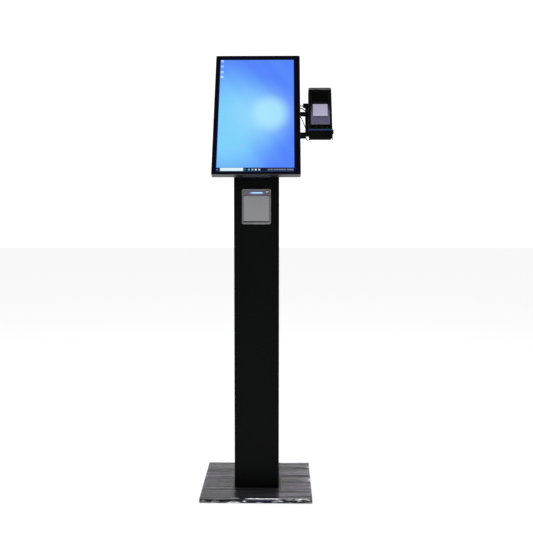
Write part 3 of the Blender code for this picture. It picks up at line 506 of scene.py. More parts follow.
def picture_marks():
    """The small marks in the order they are laid on the picture: where their middles are, half
    sizes, the softness of their edges, and colours."""
    bar_middle = 0.0088
    marks = []
    for across, up, colour in DESK_ICONS:
        marks += [(across, up, 0.0052, 0.0042, 0.003, colour),
                  (across - 0.001, up, 0.0018, 0.0016, 0.002, (96, 152, 226)),
                  (across, up - 0.0085, 0.0050, 0.0009, 0.0012, (150, 196, 250))]
    marks += [(PICTURE_WIDTH / 2, bar_middle, PICTURE_WIDTH, bar_middle, 0.0015, (20, 28, 48)),
              (0.0035, bar_middle, 0.0016, 0.0030, 0.0012, (140, 160, 190)),
              (0.0580, bar_middle + 0.001, 0.0437, 0.0066, 0.003, (226, 248, 255))]
    marks += [(across, bar_middle, 0.0034, 0.0036, 0.002, colour)
              for across, colour in BAR_MARKS]
    marks += [(across, bar_middle, 0.0036, 0.0032, 0.003, (126, 134, 158))
              for across in TRAY_MARKS]
    marks += [(0.0965, 0.1165, 0.0036, 0.0036, 0.004, (196, 178, 222)),
              (0.0085, 0.4925, 0.0014, 0.0014, 0.0015, (176, 84, 112))]
    return marks


def make_screen_picture():
    """Black glass with a lit picture: a plain blue sky with a soft round glow, four desk marks
    and a dark bar along the bottom."""
    material, wires, shader = bare_material("screen_glass", roughness=0.06, emission_strength=1.0,
                                            specular_ior_level=0.04)
    place = display_place(wires)
    across = wires.calc("SUBTRACT", place["X"], PICTURE_LEFT)
    up = wires.calc("SUBTRACT", place["Z"], PICTURE_BOTTOM)
    share_across = wires.calc("DIVIDE", across, PICTURE_WIDTH)
    share_up = wires.calc("DIVIDE", up, PICTURE_HEIGHT)

    def distance(centre, stretch):
        side = wires.calc("MULTIPLY", wires.calc("SUBTRACT", share_across, centre[0]), stretch[0])
        rise = wires.calc("MULTIPLY", wires.calc("SUBTRACT", share_up, centre[1]), stretch[1])
        return wires.diagonal(side, rise)

    pale = wires.ramp(distance((0.05, 0.40), (0.68, 1.0)), 0.16, 0.66, 1.0, 0.0)
    slope = wires.node("ShaderNodeCombineXYZ",
                       {"X": wires.calc("MULTIPLY_ADD", share_across, 0.9, share_up)})
    beams = wires.noise(slope.outputs[0], 3.4, 1.0)
    beam_gain = wires.ramp(beams, 0.35, 0.65, -0.045, 0.045)
    sky = wires.blend(wires.calc("ADD", pale, beam_gain, clamp=True), SKY_DEEP, SKY_PALE)
    halo = wires.ramp(distance((0.60, 0.50), (0.75, 1.35)), 0.05, 0.46, 0.40, 0.0)
    sky = wires.blend(halo, sky, SKY_GLOW)
    glow = wires.ramp(distance((0.68, 0.505), (0.62, 1.0)), 0.07, 0.20, 0.80, 0.0)
    picture = wires.blend(glow, sky, SKY_GLOW)

    def patch(centre_across, centre_up, half_width, half_height, softness):
        return wires.group(PATCH, across=across, up=up, centre_across=centre_across,
                           centre_up=centre_up, half_width=half_width, half_height=half_height,
                           softness=softness)["Mask"]

    for *shape, colour in picture_marks():
        picture = wires.blend(patch(*shape), picture, linear(*colour))
    lit = patch(PICTURE_WIDTH / 2, PICTURE_HEIGHT / 2, PICTURE_WIDTH / 2, PICTURE_HEIGHT / 2,
                0.0010)
    fine = wires.noise(wires.place(), 2600.0, 1.0)
    outside = wires.calc("ABSOLUTE", wires.calc("SUBTRACT", share_across, 0.5))
    beside = wires.ramp(wires.calc("ABSOLUTE", wires.calc("SUBTRACT", share_up, 0.5)),
                        0.490, 0.504, 1.0, 0.0)
    spill = wires.calc("MULTIPLY", wires.calc("MULTIPLY", beside,
                                              wires.ramp(outside, 0.503, 0.526, 1.0, 0.0)),
                       wires.ramp(share_up, -0.01, 0.30, 0.9, 0.45))
    border = wires.blend(spill, linear(0, 0, 4), linear(1, 4, 96))
    wires.feed(shader["Emission Color"], wires.blend(lit, border, picture))
    wires.feed(shader["Base Color"], wires.blend(fine, (0.001, 0.001, 0.003, 1),
                                                 (0.002, 0.002, 0.004, 1)))
    return material


def make_light_bar():
    """The printer's status light: white-blue along its middle, violet towards its rim."""
    material, wires, shader = bare_material("status_light", roughness=0.3, emission_strength=1.0,
                                            specular_ior_level=0.2)
    place = wires.split(wires.place())
    away = wires.calc("ABSOLUTE", wires.calc("SUBTRACT", place["Z"], LIGHT_MIDDLE - 0.0004))
    bright = wires.ramp(away, 0.0008, 0.0033, 1.0, 0.0)
    core = wires.calc("MULTIPLY", wires.ramp(place["X"], -0.026, -0.012),
                      wires.ramp(place["X"], 0.020, 0.0265, 1.0, 0.0))
    cells = wires.calc("SINE", wires.calc("MULTIPLY", place["X"], 700.0))
    colour = wires.blend(core, linear(96, 104, 214), linear(182, 236, 255))
    colour = wires.blend(wires.calc("MULTIPLY_ADD", cells, 0.05, bright, clamp=True),
                         linear(62, 58, 140), colour)
    wires.feed(shader["Emission Color"], colour)
    wires.feed(shader["Base Color"], wires.blend(core, (0.05, 0.05, 0.12, 1),
                                                 (0.08, 0.10, 0.14, 1)))
    return material


def make_bezel_grey():
    """Satin grey plastic that picks up violet light beside the status light."""
    material, wires, shader = bare_material("printer_bezel_grey", specular_ior_level=0.35,
                                            emission_strength=1.0)
    place = wires.split(wires.place())
    side = wires.calc("MULTIPLY", place["X"], 0.30)
    rise = wires.calc("SUBTRACT", place["Z"], LIGHT_MIDDLE - 0.0020)
    away = wires.diagonal(side, rise)
    wires.feed(shader["Emission Color"], wires.blend(wires.ramp(away, 0.0035, 0.0110, 1.0, 0.0),
                                                     (0, 0, 0, 1), linear(50, 44, 112)))
    made = wires.group(GRAIN, colour=(0.086, 0.086, 0.092, 1), grain_scale=1500,
                       patch_scale=40.0, patch_strength=0.9, roughness=0.38,
                       roughness_swing=0.12)
    worn = wires.group(WEAR, colour=made["Colour"], worn_colour=(0.24, 0.24, 0.25, 1),
                       roughness=made["Roughness"], amount=0.8)
    wires.finish(shader, worn)
    wires.relief(shader, made["Height"], 0.35, 0.0004)
    return material


def make_terminal_panel(name, top, bottom, speckle, swing):
    """A lit panel of the terminal that changes a little down its height, with a faint mottle."""
    material, wires, shader = bare_material(name, roughness=0.3, emission_strength=1.0,
                                            specular_ior_level=0.2)
    up = display_place(wires)["Z"]
    fade = wires.ramp(up, 0.232, 0.322)
    dots = wires.noise(wires.mapping(wires.place(), scale=(1.0, 1.0, 1.6)), speckle, 2.0)
    colour = wires.blend(fade, linear(*bottom), linear(*top))
    tone = wires.ramp(dots, 0.35, 0.65, 1.0 - swing, 1.0 + swing / 2)
    wires.feed(shader["Emission Color"], wires.toned(colour, tone))
    wires.feed(shader["Base Color"], wires.blend(dots, (0.008, 0.008, 0.014, 1),
                                                 (0.014, 0.013, 0.022, 1)))
    return material


def make_fascia():
    """The terminal's satin fascia, nearly black at its head and lavender grey towards its foot."""
    material, wires, shader = bare_material("terminal_fascia_grey", specular_ior_level=0.10)
    up = display_place(wires)["Z"]
    mottle = wires.calc("MULTIPLY_ADD", wires.noise(wires.place(), 160.0, 3.0), 0.05, up)
    fade = wires.ramp(mottle, 0.285, 0.350, 1.0, 0.0)
    worn = wires.group(WEAR, colour=wires.blend(fade, (0.0016, 0.0014, 0.0026, 1),
                                                (0.064, 0.058, 0.086, 1)),
                       worn_colour=wires.blend(fade, (0.016, 0.015, 0.022, 1),
                                               (0.13, 0.12, 0.17, 1)),
                       roughness=0.34, amount=0.6)
    wires.finish(shader, worn)
    return material


def make_board_material():
    """Green circuit board with copper tracks and pale vias."""
    material, wires, shader = bare_material("circuit_board", specular_ior_level=0.4)
    where = wires.place()
    brick = wires.node("ShaderNodeTexBrick", {
        "Vector": wires.mapping(where, rotation=(math.pi / 2, 0, 0)), "Scale": 90.0,
        "Mortar Size": 0.04, "Color1": (0.012, 0.10, 0.035, 1), "Color2": (0.016, 0.13, 0.045, 1),
        "Mortar": (0.10, 0.22, 0.06, 1)})
    dots = wires.node("ShaderNodeTexVoronoi", {"Vector": where, "Scale": 240.0})
    via = wires.ramp(dots.outputs["Distance"], 0.12, 0.18, 1.0, 0.0)
    wires.feed(shader["Base Color"], wires.blend(via, brick.outputs["Color"],
                                                 (0.50, 0.46, 0.32, 1)))
    wires.feed(shader["Roughness"], wires.ramp(via, 0.0, 1.0, 0.45, 0.3))
    return material


def make_sheath(name, colour):
    """A lead's black PVC sheath, a little scuffed."""
    material, wires, shader = bare_material(name, specular_ior_level=0.35)
    where = wires.place()
    scuff = wires.noise(where, 160.0, 4.0, 0.6)
    wires.feed(shader["Base Color"], wires.blend(wires.ramp(scuff, 0.45, 0.8), (*colour, 1),
                                                 (0.035, 0.035, 0.037, 1)))
    wires.feed(shader["Roughness"], wires.ramp(scuff, 0.3, 0.7, 0.42, 0.58))
    wires.relief(shader, wires.noise(where, 1400.0, 2.0), 0.2, 0.0002)
    return material


def make_paper():
    """White receipt paper with a fine fibre."""
    material, wires, shader = bare_material("thermal_paper", specular_ior_level=0.3)
    fibre = wires.noise(wires.place(), 1500.0)
    wires.feed(shader["Base Color"], wires.blend(fibre, (0.80, 0.80, 0.78, 1),
                                                 (0.90, 0.90, 0.88, 1)))
    wires.feed(shader["Roughness"], wires.ramp(fibre, 0.3, 0.7, 0.7, 0.85))
    return material


POWDER = surface("black_powder_coat", (0.0017, 0.0019, 0.0019), 0.46, grain=1100, bump=0.0005,
                 patch=3.5, patch_strength=0.8, swing=0.14, worn=(0.034, 0.036, 0.038),
                 specular_ior_level=0.045)
POWDER_BACK = surface("bracket_powder_coat", (0.0050, 0.0052, 0.0055), 0.50, grain=1300,
                      bump=0.0005, patch=12, patch_strength=0.4, swing=0.12,
                      worn=(0.06, 0.06, 0.062), wear=0.5, dust=0.08, specular_ior_level=0.15)
FRAME_BLACK = surface("display_frame_black", (0.0035, 0.0037, 0.0055), 0.24, grain=1500,
                      bump=0.0002, patch=6, worn=(0.09, 0.09, 0.11), coat_weight=0.25,
                      coat_roughness=0.12, specular_ior_level=0.5)
HOUSING_PLASTIC = surface("housing_plastic", (0.011, 0.011, 0.012), 0.52, grain=1800, bump=0.0007,
                          patch=7, patch_strength=0.3, swing=0.10, worn=(0.06, 0.06, 0.062),
                          dust=0.12, specular_ior_level=0.35)
BLACK_PLASTIC = surface("black_plastic", (0.0016, 0.0016, 0.0019), 0.48, grain=1600, bump=0.0005,
                        patch=20, worn=(0.035, 0.035, 0.04), specular_ior_level=0.07)
HOLDER_BLACK = surface("holder_powder_coat", (0.0013, 0.0015, 0.0017), 0.50, grain=1200, patch=16,
                       patch_strength=0.45, swing=0.12, worn=(0.030, 0.032, 0.034), wear=0.45,
                       specular_ior_level=0.05)
# Painted highlight: a lighter grey for the strip along the holder's top, standing in for the light
# its bend catches.
HOLDER_SHEEN = surface("holder_sheen_grey", (0.050, 0.050, 0.052), 0.42, grain=1200, patch=40,
                      patch_strength=0.5, worn=(0.11, 0.11, 0.11), wear=0.7,
                      specular_ior_level=0.2)
DOOR_GREY = surface("printer_door_grey", (0.184, 0.185, 0.192), 0.40, grain=1400, patch=14,
                    patch_strength=0.12, worn=(0.30, 0.30, 0.33), wear=0.5, specular_ior_level=0.4)
RIM_GREY = surface("printer_rim_grey", (0.150, 0.150, 0.154), 0.36, grain=1400, bump=0.0003,
                   patch=45, patch_strength=1.6, worn=(0.3, 0.3, 0.3), specular_ior_level=0.5)
LIP_BLUE = surface("card_lip_blue", (0.006, 0.020, 0.062), 0.30, grain=1400, bump=0.0002, patch=26,
                   patch_strength=0.5, worn=(0.06, 0.11, 0.22), wear=0.8, specular_ior_level=0.25)
TOUCH_MARK = surface("touch_mark_grey", (0.045, 0.045, 0.032), 0.4, bump=0.0001,
                     specular_ior_level=0.2)
RUBBER = surface("black_rubber", (0.016, 0.016, 0.016), 0.78, bump=0.0006, patch=30,
                 patch_strength=0.4, dust=0.2, specular_ior_level=0.3)
NYLON = surface("white_nylon", (0.62, 0.61, 0.56), 0.48, grain=1200, bump=0.0002, patch=40,
                patch_strength=0.1, worn=(0.75, 0.74, 0.70), specular_ior_level=0.4)
CASTING = surface("counterweight_steel", (0.20, 0.20, 0.21), 0.55, grain=500, bump=0.0008,
                  patch=18, patch_strength=0.4, metallic=0.9)
CHROME = surface("bright_chrome", (0.62, 0.62, 0.64), 0.16, grain=600, bump=0.0001, patch=60,
                 patch_strength=0.15, swing=0.10, worn=(0.8, 0.8, 0.82), metallic=1.0)
GLOSS_BLACK = surface("terminal_gloss_black", (0.0009, 0.0010, 0.0011), 0.14, bump=0.0001,
                      patch=30, swing=0.06, worn=(0.04, 0.04, 0.05), specular_ior_level=0.04)
STEEL_X = make_brushed("turned_steel", (0.42, 0.42, 0.43), 0.32, "X")
STEEL_Z = make_brushed("drawn_steel", (0.40, 0.40, 0.41), 0.34, "Z")
SCREW_ZINC = make_brushed("zinc_screw", (0.30, 0.30, 0.31), 0.38, "Y")
BASE_GLOSS = make_base_gloss()
WRAP = make_wrap_film()
SCREEN = make_screen_picture()
STATUS_LIGHT = make_light_bar()
BEZEL_GREY = make_bezel_grey()
LAVENDER = make_fascia()
PANEL_LIGHT = make_terminal_panel("terminal_lit_panel", (166, 160, 184), (176, 180, 206), 420,
                                  0.10)
PANEL_DIM = make_terminal_panel("terminal_key_panel", (88, 86, 114), (76, 79, 106), 210, 0.26)
BOARD = make_board_material()
SHEATH = make_sheath("lead_sheath", (0.010, 0.010, 0.011))
PAPER = make_paper()


# ---------------------------------------------------------------- mesh building

def add_piece(name, bm, body, material, replaces=(), sharp=35):
    """Links a finished mesh, shades it smooth up to its sharp edges, and puts it on its body."""
    mesh = bpy.data.meshes.new(name)
    bm.to_mesh(mesh)
    bm.free()
    return add_mesh(name, mesh, body, material, replaces, sharp)


def add_mesh(name, mesh, body, material, replaces=(), sharp=35):
    """The same for a mesh that is already plain."""
    mesh.materials.clear()
    mesh.materials.append(material)
    mesh.shade_smooth()
    mesh.set_sharp_from_angle(angle=math.radians(sharp))
    obj = bpy.data.objects.new(name, mesh)
    SCENE.collection.objects.link(obj)
    even = obj.modifiers.new("even_shading", "WEIGHTED_NORMAL")
    even.keep_sharp = True
    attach(obj, body)
    if replaces:
        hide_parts(*replaces)
    return obj


def round_edges(bm, width, segments=3, angle=40):
    """Rounds the sharp edges, and gives the rounded strips an edge value of 1 for wear."""
    worn = bm.verts.layers.float.get("edge") or bm.verts.layers.float.new("edge")
    edges = [e for e in bm.edges
             if len(e.link_faces) == 2 and e.calc_face_angle(0) > math.radians(angle)]
    made = bmesh.ops.bevel(bm, geom=edges, offset=width, segments=segments, profile=0.5,
                           affect="EDGES", clamp_overlap=True)
    strips = set(made["faces"])
    for vert in bm.verts:
        if vert.link_faces and all(face in strips for face in vert.link_faces):
            vert[worn] = 1.0


def bend_holder_top(bm):
    """Leans the holder's top front edge back a little in a wide bend."""
    bm.transform(DISPLAY.inverted())
    low = Vector([min(v.co[i] for v in bm.verts) for i in range(3)])
    top = max(v.co.z for v in bm.verts)
    bend = 0.0125
    lean = 0.22
    reach = 1.6 * bend
    steps = 9
    for i in range(steps):
        height = top - bend * (1 - math.sin(math.pi / 2 * i / steps))
        bmesh.ops.bisect_plane(bm, geom=bm.verts[:] + bm.edges[:] + bm.faces[:],
                               plane_co=(0, 0, height), plane_no=(0, 0, 1))
    for vert in bm.verts:
        rise = min(max(0.0, vert.co.z - (top - bend)), bend)
        share = max(0.0, 1 - (vert.co.y - low.y) / reach)
        vert.co.y += share * (bend - math.sqrt(bend ** 2 - rise ** 2)) * lean
    bm.transform(DISPLAY)


def lower_door_foot(bm):
    """Carries the printer door's front down to a narrow gap over the bezel's foot."""
    foot = min(v.co.z for v in bm.verts) + 0.0014
    front = -0.0656
    drop = 0.0024
    for vert in bm.verts:
        if vert.co.z < foot and vert.co.y < front:
            vert.co.z -= drop


def slim_card_lip(bm):
    """Takes the card lip's lower edge up, so that it is a narrow band."""
    bm.transform(DISPLAY.inverted())
    top = max(v.co.z for v in bm.verts)
    kept_share = 0.64
    for vert in bm.verts:
        vert.co.z = top + kept_share * (vert.co.z - top)
    bm.transform(DISPLAY)


RESHAPED = {"terminal_holder": bend_holder_top, "printer_door": lower_door_foot,
            "card_lip": slim_card_lip}


def ease(node, width, material, segments=3, angle=40, sharp=35):
    """Stands a copy of a CAD piece, with its edges rounded, in the piece's place."""
    source = frame["nodes"][node]
    bm = bmesh.new()
    bm.from_mesh(source.data)
    bmesh.ops.remove_doubles(bm, verts=bm.verts, dist=0.00002)
    bmesh.ops.dissolve_limit(bm, angle_limit=math.radians(0.8), verts=bm.verts, edges=bm.edges)
    if node in RESHAPED:
        RESHAPED[node](bm)
    round_edges(bm, width, segments, angle)
    return add_piece("finished_" + node, bm, source["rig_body"], material, [node], sharp)


def box_mesh(low, high, width=0.0, segments=3):
    """A box between two corners, with its edges rounded by the given width."""
    low = Vector(low)
    high = Vector(high)
    bm = bmesh.new()
    bmesh.ops.create_cube(bm, size=1.0)
    bm.transform(Matrix.Translation((low + high) / 2) @ Matrix.Diagonal((*(high - low), 1)))
    if width:
        round_edges(bm, width, segments)
    return bm


def lathe(profile, steps=32):
    """A solid turned about Z. The profile is (radius, height) points, up the outer side."""
    bm = bmesh.new()
    rings = []
    for radius, height in profile:
        if radius == 0:
            rings.append([bm.verts.new((0, 0, height))])
        else:
            rings.append([bm.verts.new((radius * math.cos(2 * math.pi * i / steps),
                                        radius * math.sin(2 * math.pi * i / steps), height))
                          for i in range(steps)])
    for lower, upper in zip(rings, rings[1:]):
        for i in range(steps):
            j = (i + 1) % steps
            if len(lower) == 1:
                bm.faces.new((lower[0], upper[j], upper[i]))
            elif len(upper) == 1:
                bm.faces.new((lower[i], lower[j], upper[0]))
            else:
                bm.faces.new((lower[i], lower[j], upper[j], upper[i]))
    bmesh.ops.recalc_face_normals(bm, faces=bm.faces)
    return bm


def round_rectangle(low, high, corner, steps=5):
    """The outline of a rectangle with round corners, as (x, z) points."""
    points = []
    for x, z, start in ((high[0], high[1], 0), (low[0], high[1], 90), (low[0], low[1], 180),
                        (high[0], low[1], 270)):
        cx = x - corner if x == high[0] else x + corner
        cz = z - corner if z == high[1] else z + corner
        for i in range(steps + 1):
            angle = math.radians(start + 90 * i / steps)
            points.append((cx + corner * math.cos(angle), cz + corner * math.sin(angle)))
    return points


def add_spline(curve, points):
    """Adds straight lengths through the points to a curve."""
    spline = curve.splines.new("POLY")
    spline.points.add(len(points) - 1)
    for spot, point in zip(spline.points, points):
        spot.co = (*point, 1)
    return spline


def take_mesh(obj):
    """The plain mesh that an object's curve or modifiers make. The object itself goes."""
    SCENE.collection.objects.link(obj)
    mesh = bpy.data.meshes.new_from_object(obj.evaluated_get(
        bpy.context.evaluated_depsgraph_get()))
    bpy.data.objects.remove(obj)
    return mesh


def flat_plate(outlines, front, back, width=0.0, segments=2):
    """A plate across Y with holes. Outlines are (x, z), the first the outer one."""
    curve = bpy.data.curves.new("plate", "CURVE")
    curve.dimensions = "2D"
    curve.fill_mode = "BOTH"
    curve.extrude = (back - front) / 2
    for outline in outlines:
        add_spline(curve, [(x, z, 0) for x, z in outline]).use_cyclic_u = True
    bm = bmesh.new()
    bm.from_mesh(take_mesh(bpy.data.objects.new("plate", curve)))
    bmesh.ops.remove_doubles(bm, verts=bm.verts, dist=0.00001)
    bmesh.ops.dissolve_limit(bm, angle_limit=math.radians(0.8), verts=bm.verts, edges=bm.edges)
    bmesh.ops.recalc_face_normals(bm, faces=bm.faces)
    bm.transform(Matrix.Translation((0, (front + back) / 2, 0))
                 @ Matrix.Rotation(math.pi / 2, 4, "X"))
    if width:
        round_edges(bm, width, segments)
    return bm


def on_display(bm):
    """Moves a mesh from display coordinates to its place on the tilted display."""
    bm.transform(DISPLAY)
    return bm


def add_display_box(name, low, high, width, material):
    """A box on the display, between two corners in display coordinates."""
    add_piece(name, on_display(box_mesh(low, high, width)), "display", material)


def bridge(bm, ring, after):
    """A band of faces between two rings with the same number of points."""
    count = len(ring)
    for i in range(count):
        j = (i + 1) % count
        bm.faces.new((ring[i], ring[j], after[j], after[i]))


def ring_tube(points, radius, sides=8):
    """A closed loop of tube through the points, with their middle line flat."""
    bm = bmesh.new()
    rings = []
    count = len(points)
    normal = (points[1] - points[0]).cross(points[2] - points[1]).normalized()
    for i, point in enumerate(points):
        along = (points[(i + 1) % count] - points[i - 1]).normalized()
        side = along.cross(normal).normalized()
        rings.append([bm.verts.new(point + radius * (math.cos(a) * side + math.sin(a) * normal))
                      for a in (2 * math.pi * k / sides for k in range(sides))])
    for ring, after in zip(rings, rings[1:] + rings[:1]):
        bridge(bm, ring, after)
    bmesh.ops.recalc_face_normals(bm, faces=bm.faces)
    return bm


# ---------------------------------------------------------------- leads

def smooth_route(points, spacing):
    """Points about one spacing apart on a smooth curve through the given points."""
    points = [Vector(p) for p in points]
    ends = [2 * points[0] - points[1]] + points + [2 * points[-1] - points[-2]]
    route = [points[0]]
    for a, b, c, d in zip(ends, ends[1:], ends[2:], ends[3:]):
        count = max(1, round((c - b).length / spacing))
        for i in range(1, count + 1):
            t = i / count
            route.append(0.5 * (2 * b + (c - a) * t + (2 * a - 5 * b + 4 * c - d) * t ** 2
                                + (3 * b - a - 3 * c + d) * t ** 3))
    return route


def make_lead_boot(name, point, direction, radius, length, girth):
    """A ribbed rubber boot, tapered from the wall out along its lead."""
    rib_spacing = 0.0024
    thin_girth = 1.25
    tip_girth = 1.12
    rib, groove_start, groove_end = (length * share for share in (0.16, 0.18, 0.23))
    groove_girth = 0.84
    profile = [(0, 0)]
    ribs = max(3, round(length / rib_spacing))
    for i in range(ribs):
        start = length * i / ribs
        size = radius * (girth - (girth - thin_girth) * i / ribs)
        profile += [(size, start), (size, start + rib),
                    (size * groove_girth, start + groove_start),
                    (size * groove_girth, start + groove_end)]
    profile += [(radius * tip_girth, length), (0, length)]
    bm = lathe(profile, 20)
    turn = direction.to_track_quat("Z", "Y").to_matrix().to_4x4()
    bm.transform(Matrix.Translation(point) @ turn)
    return add_piece(name, bm, "display", RUBBER, sharp=50)


# Each boot's length, and its girth where it meets the wall as a share of its lead's
HOUSING_BOOT = (0.0085, 1.9)
HOLDER_BOOTS = {"data_lead": (0.0110, 2.2), "power_lead": (0.0100, 2.2),
                "signal_lead": (0.0030, 1.9)}
ROUTE_SPACING = 0.0025


def make_leads():
    """The three leads, each with a boot at both of its ends."""
    for name, (diameter, points) in LEADS.items():
        route = [DISPLAY @ p for p in smooth_route(points, ROUTE_SPACING)]
        curve = bpy.data.curves.new(name, "CURVE")
        curve.dimensions = "3D"
        curve.bevel_depth = diameter / 2
        curve.bevel_resolution = 4
        curve.use_fill_caps = True
        add_spline(curve, route).use_smooth = True
        curve.materials.append(SHEATH)
        lead = bpy.data.objects.new("finished_" + name, curve)
        SCENE.collection.objects.link(lead)
        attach(lead, "display")
        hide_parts(name)
        start_boot = make_lead_boot(f"{name}_housing_boot", route[0],
                                    (route[1] - route[0]).normalized(), diameter / 2,
                                    *HOUSING_BOOT)
        end_boot = make_lead_boot(f"{name}_holder_boot", route[-1],
                                  (route[-2] - route[-1]).normalized(), diameter / 2,
                                  *HOLDER_BOOTS[name])
    make_lead_clamp()


def make_lead_clamp():
    """The moulded clamp on the holder's side that grips the data lead where it goes in."""
    add_display_box("lead_clamp", (0.1812, 0.0300, 0.3325), (HOLDER_LEFT + 0.0002, 0.0440, 0.3490),
                    0.0030, BLACK_PLASTIC)


def join_into(bm, *others):
    """Adds the other meshes to the first one."""
    for other in others:
        mesh = bpy.data.meshes.new("joined")
        other.to_mesh(mesh)
        other.free()
        bm.from_mesh(mesh)
        bpy.data.meshes.remove(mesh)


# ---------------------------------------------------------------- casings

EASED = [
    # piece, rounding, material, slot
    ("base_cover", 0.0012, BASE_GLOSS, "base"),
    ("post_shell", 0.0007, POWDER, "powder_coat"),
    ("post_cap", 0.0006, POWDER, "powder_coat"),
    ("post_flange", 0.0006, POWDER_BACK, "powder_coat"),
    ("equipment_shelf", 0.0004, POWDER_BACK, "powder_coat"),
    ("tilt_yoke", 0.0006, POWDER_BACK, "powder_coat"),
    ("vesa_bracket", 0.0005, POWDER_BACK, "powder_coat"),
    ("terminal_bracket", 0.0006, POWDER_BACK, "powder_coat"),
    ("rear_door", 0.0004, POWDER, "powder_coat"),
    ("hinge_leaf_upper", 0.0003, POWDER_BACK, "powder_coat"),
    ("hinge_leaf_lower", 0.0003, POWDER_BACK, "powder_coat"),
    ("display_frame", 0.0003, FRAME_BLACK, "frame"),
    ("rear_housing", 0.0004, HOUSING_PLASTIC, "powder_coat"),
    ("display_glass", 0.0003, SCREEN, "screen"),
    ("terminal_holder", 0.0004, HOLDER_BLACK, "powder_coat"),
    ("card_lip", 0.0003, LIP_BLUE, "blue_trim"),
    ("terminal_body", 0.0005, BLACK_PLASTIC, "black_plastic"),
    ("terminal_cover", 0.0002, GLOSS_BLACK, "gloss_black"),
    ("printer_door", 0.0003, DOOR_GREY, "printer_door"),
    ("printer_light_bar", 0.0002, STATUS_LIGHT, "light_bar"),
    ("printer_housing", 0.0005, BLACK_PLASTIC, "black_plastic"),
    ("power_supply", 0.0006, BLACK_PLASTIC, "black_plastic"),
    ("mains_inlet", 0.0004, BLACK_PLASTIC, "black_plastic"),
    ("rocker_switch", 0.0003, BLACK_PLASTIC, "black_plastic"),
    ("speaker_left", 0.0004, BLACK_PLASTIC, "black_plastic"),
    ("speaker_right", 0.0004, BLACK_PLASTIC, "black_plastic"),
]

# CAD pieces that stay as they are, and their finishes
KEPT = [
    (CASTING, ["counterweight"]),
    (RUBBER, ["foot_pad_centre", "foot_pad_front_left", "foot_pad_front_right",
              "foot_pad_rear_left", "foot_pad_rear_right", "cable_grommet", "platen_roller"]),
    (STEEL_Z, ["hinge_pin_upper", "hinge_pin_lower"]),
    (CHROME, ["door_lock_barrel", "door_lock_cam", "printer_button"]),
    (PAPER, ["paper_roll", "terminal_paper_roll"]),
    (STEEL_X, ["print_head", "cutter_blade", "printer_hinge_pin", "feed_motor",
               "tilt_bolt_left", "tilt_bolt_right"]),
    (NYLON, ["platen_gear", "idler_gear", "motor_pinion"]),
    (BLACK_PLASTIC, ["lcd_panel", "holder_lock", "display_button"]),
    (BOARD, ["main_board"]),
    (LAVENDER, ["terminal_screen"]),
]


def finish_casings():
    """Eased copies of the visible casings, and finishes on the pieces that stay."""
    for node, width, material, slot in EASED:
        ease(node, width, material)
    for material, nodes in KEPT:
        for node in nodes:
            mesh = frame["nodes"][node].data
            mesh.materials.clear()
            mesh.materials.append(material)


# ---------------------------------------------------------------- terminal

def make_terminal_face():
    """The terminal's fascia with its two sunk panels, and the marks under them."""
    panel_low = (HOLDER_X - 0.0290, 0.2655)
    panel_high = (HOLDER_X + 0.0290, 0.3228)
    keys_low = (HOLDER_X - 0.0300, 0.2335)
    keys_high = (HOLDER_X + 0.0295, 0.2600)
    fascia_half = 0.0370
    fascia_front = 0.0004
    fascia_back = 0.0017
    panel_front = 0.0010
    inset = 0.0004
    outer = round_rectangle((HOLDER_X - fascia_half, 0.2262), (HOLDER_X + fascia_half, 0.3287),
                            0.003)
    fascia = flat_plate([outer, round_rectangle(panel_low, panel_high, 0.0015),
                         round_rectangle(keys_low, keys_high, 0.0012)], fascia_front,
                        fascia_back, 0.0003)
    add_piece("terminal_fascia", on_display(fascia), "display", LAVENDER,
              ["terminal_screen"])
    backing_half = 0.0368
    add_display_box("terminal_backing", (HOLDER_X - backing_half, 0.0018, 0.2055),
                    (HOLDER_X + backing_half, 0.0027, 0.3285), 0.0003, GLOSS_BLACK)
    for name, low, high, material in (
            ("terminal_lit_panel", panel_low, panel_high, PANEL_LIGHT),
            ("terminal_key_panel", keys_low, keys_high, PANEL_DIM)):
        add_display_box(name, (low[0] + inset, panel_front, low[1] + inset),
                        (high[0] - inset, fascia_back, high[1] - inset), 0.0002, material)
    add_display_box("terminal_panel_seam", (panel_low[0], 0.0001, keys_high[1] + 0.0018),
                    (panel_high[0], 0.0008, panel_low[1] - 0.0014), 0.0002, GLOSS_BLACK)
    marks = bmesh.new()
    mark_half = 0.0030
    for x in (HOLDER_X - 0.019, HOLDER_X + 0.004, HOLDER_X + 0.025):
        join_into(marks, box_mesh((x - mark_half, 0.0013, 0.2136),
                                  (x + mark_half, 0.0019, 0.2146), 0.0002))
    add_piece("terminal_touch_marks", on_display(marks), "display", TOUCH_MARK)


def make_holder_sheen_strip():
    """The lighter strip along the holder's folded top front: a painted highlight where the bend
    catches light from above.
    """
    inset = 0.0016
    holder_right = 2 * HOLDER_X - HOLDER_LEFT
    low = Vector((HOLDER_LEFT + inset, -0.0012, 0.3893))
    high = Vector((holder_right - inset, 0.0024, 0.4002))
    outline = round_rectangle((low.x, low.z), (high.x, high.z), 0.0032)
    flange = flat_plate([outline], low.y, high.y, 0.0005)
    add_piece("holder_flange", on_display(flange), "display", HOLDER_SHEEN)


# ---------------------------------------------------------------- printer details

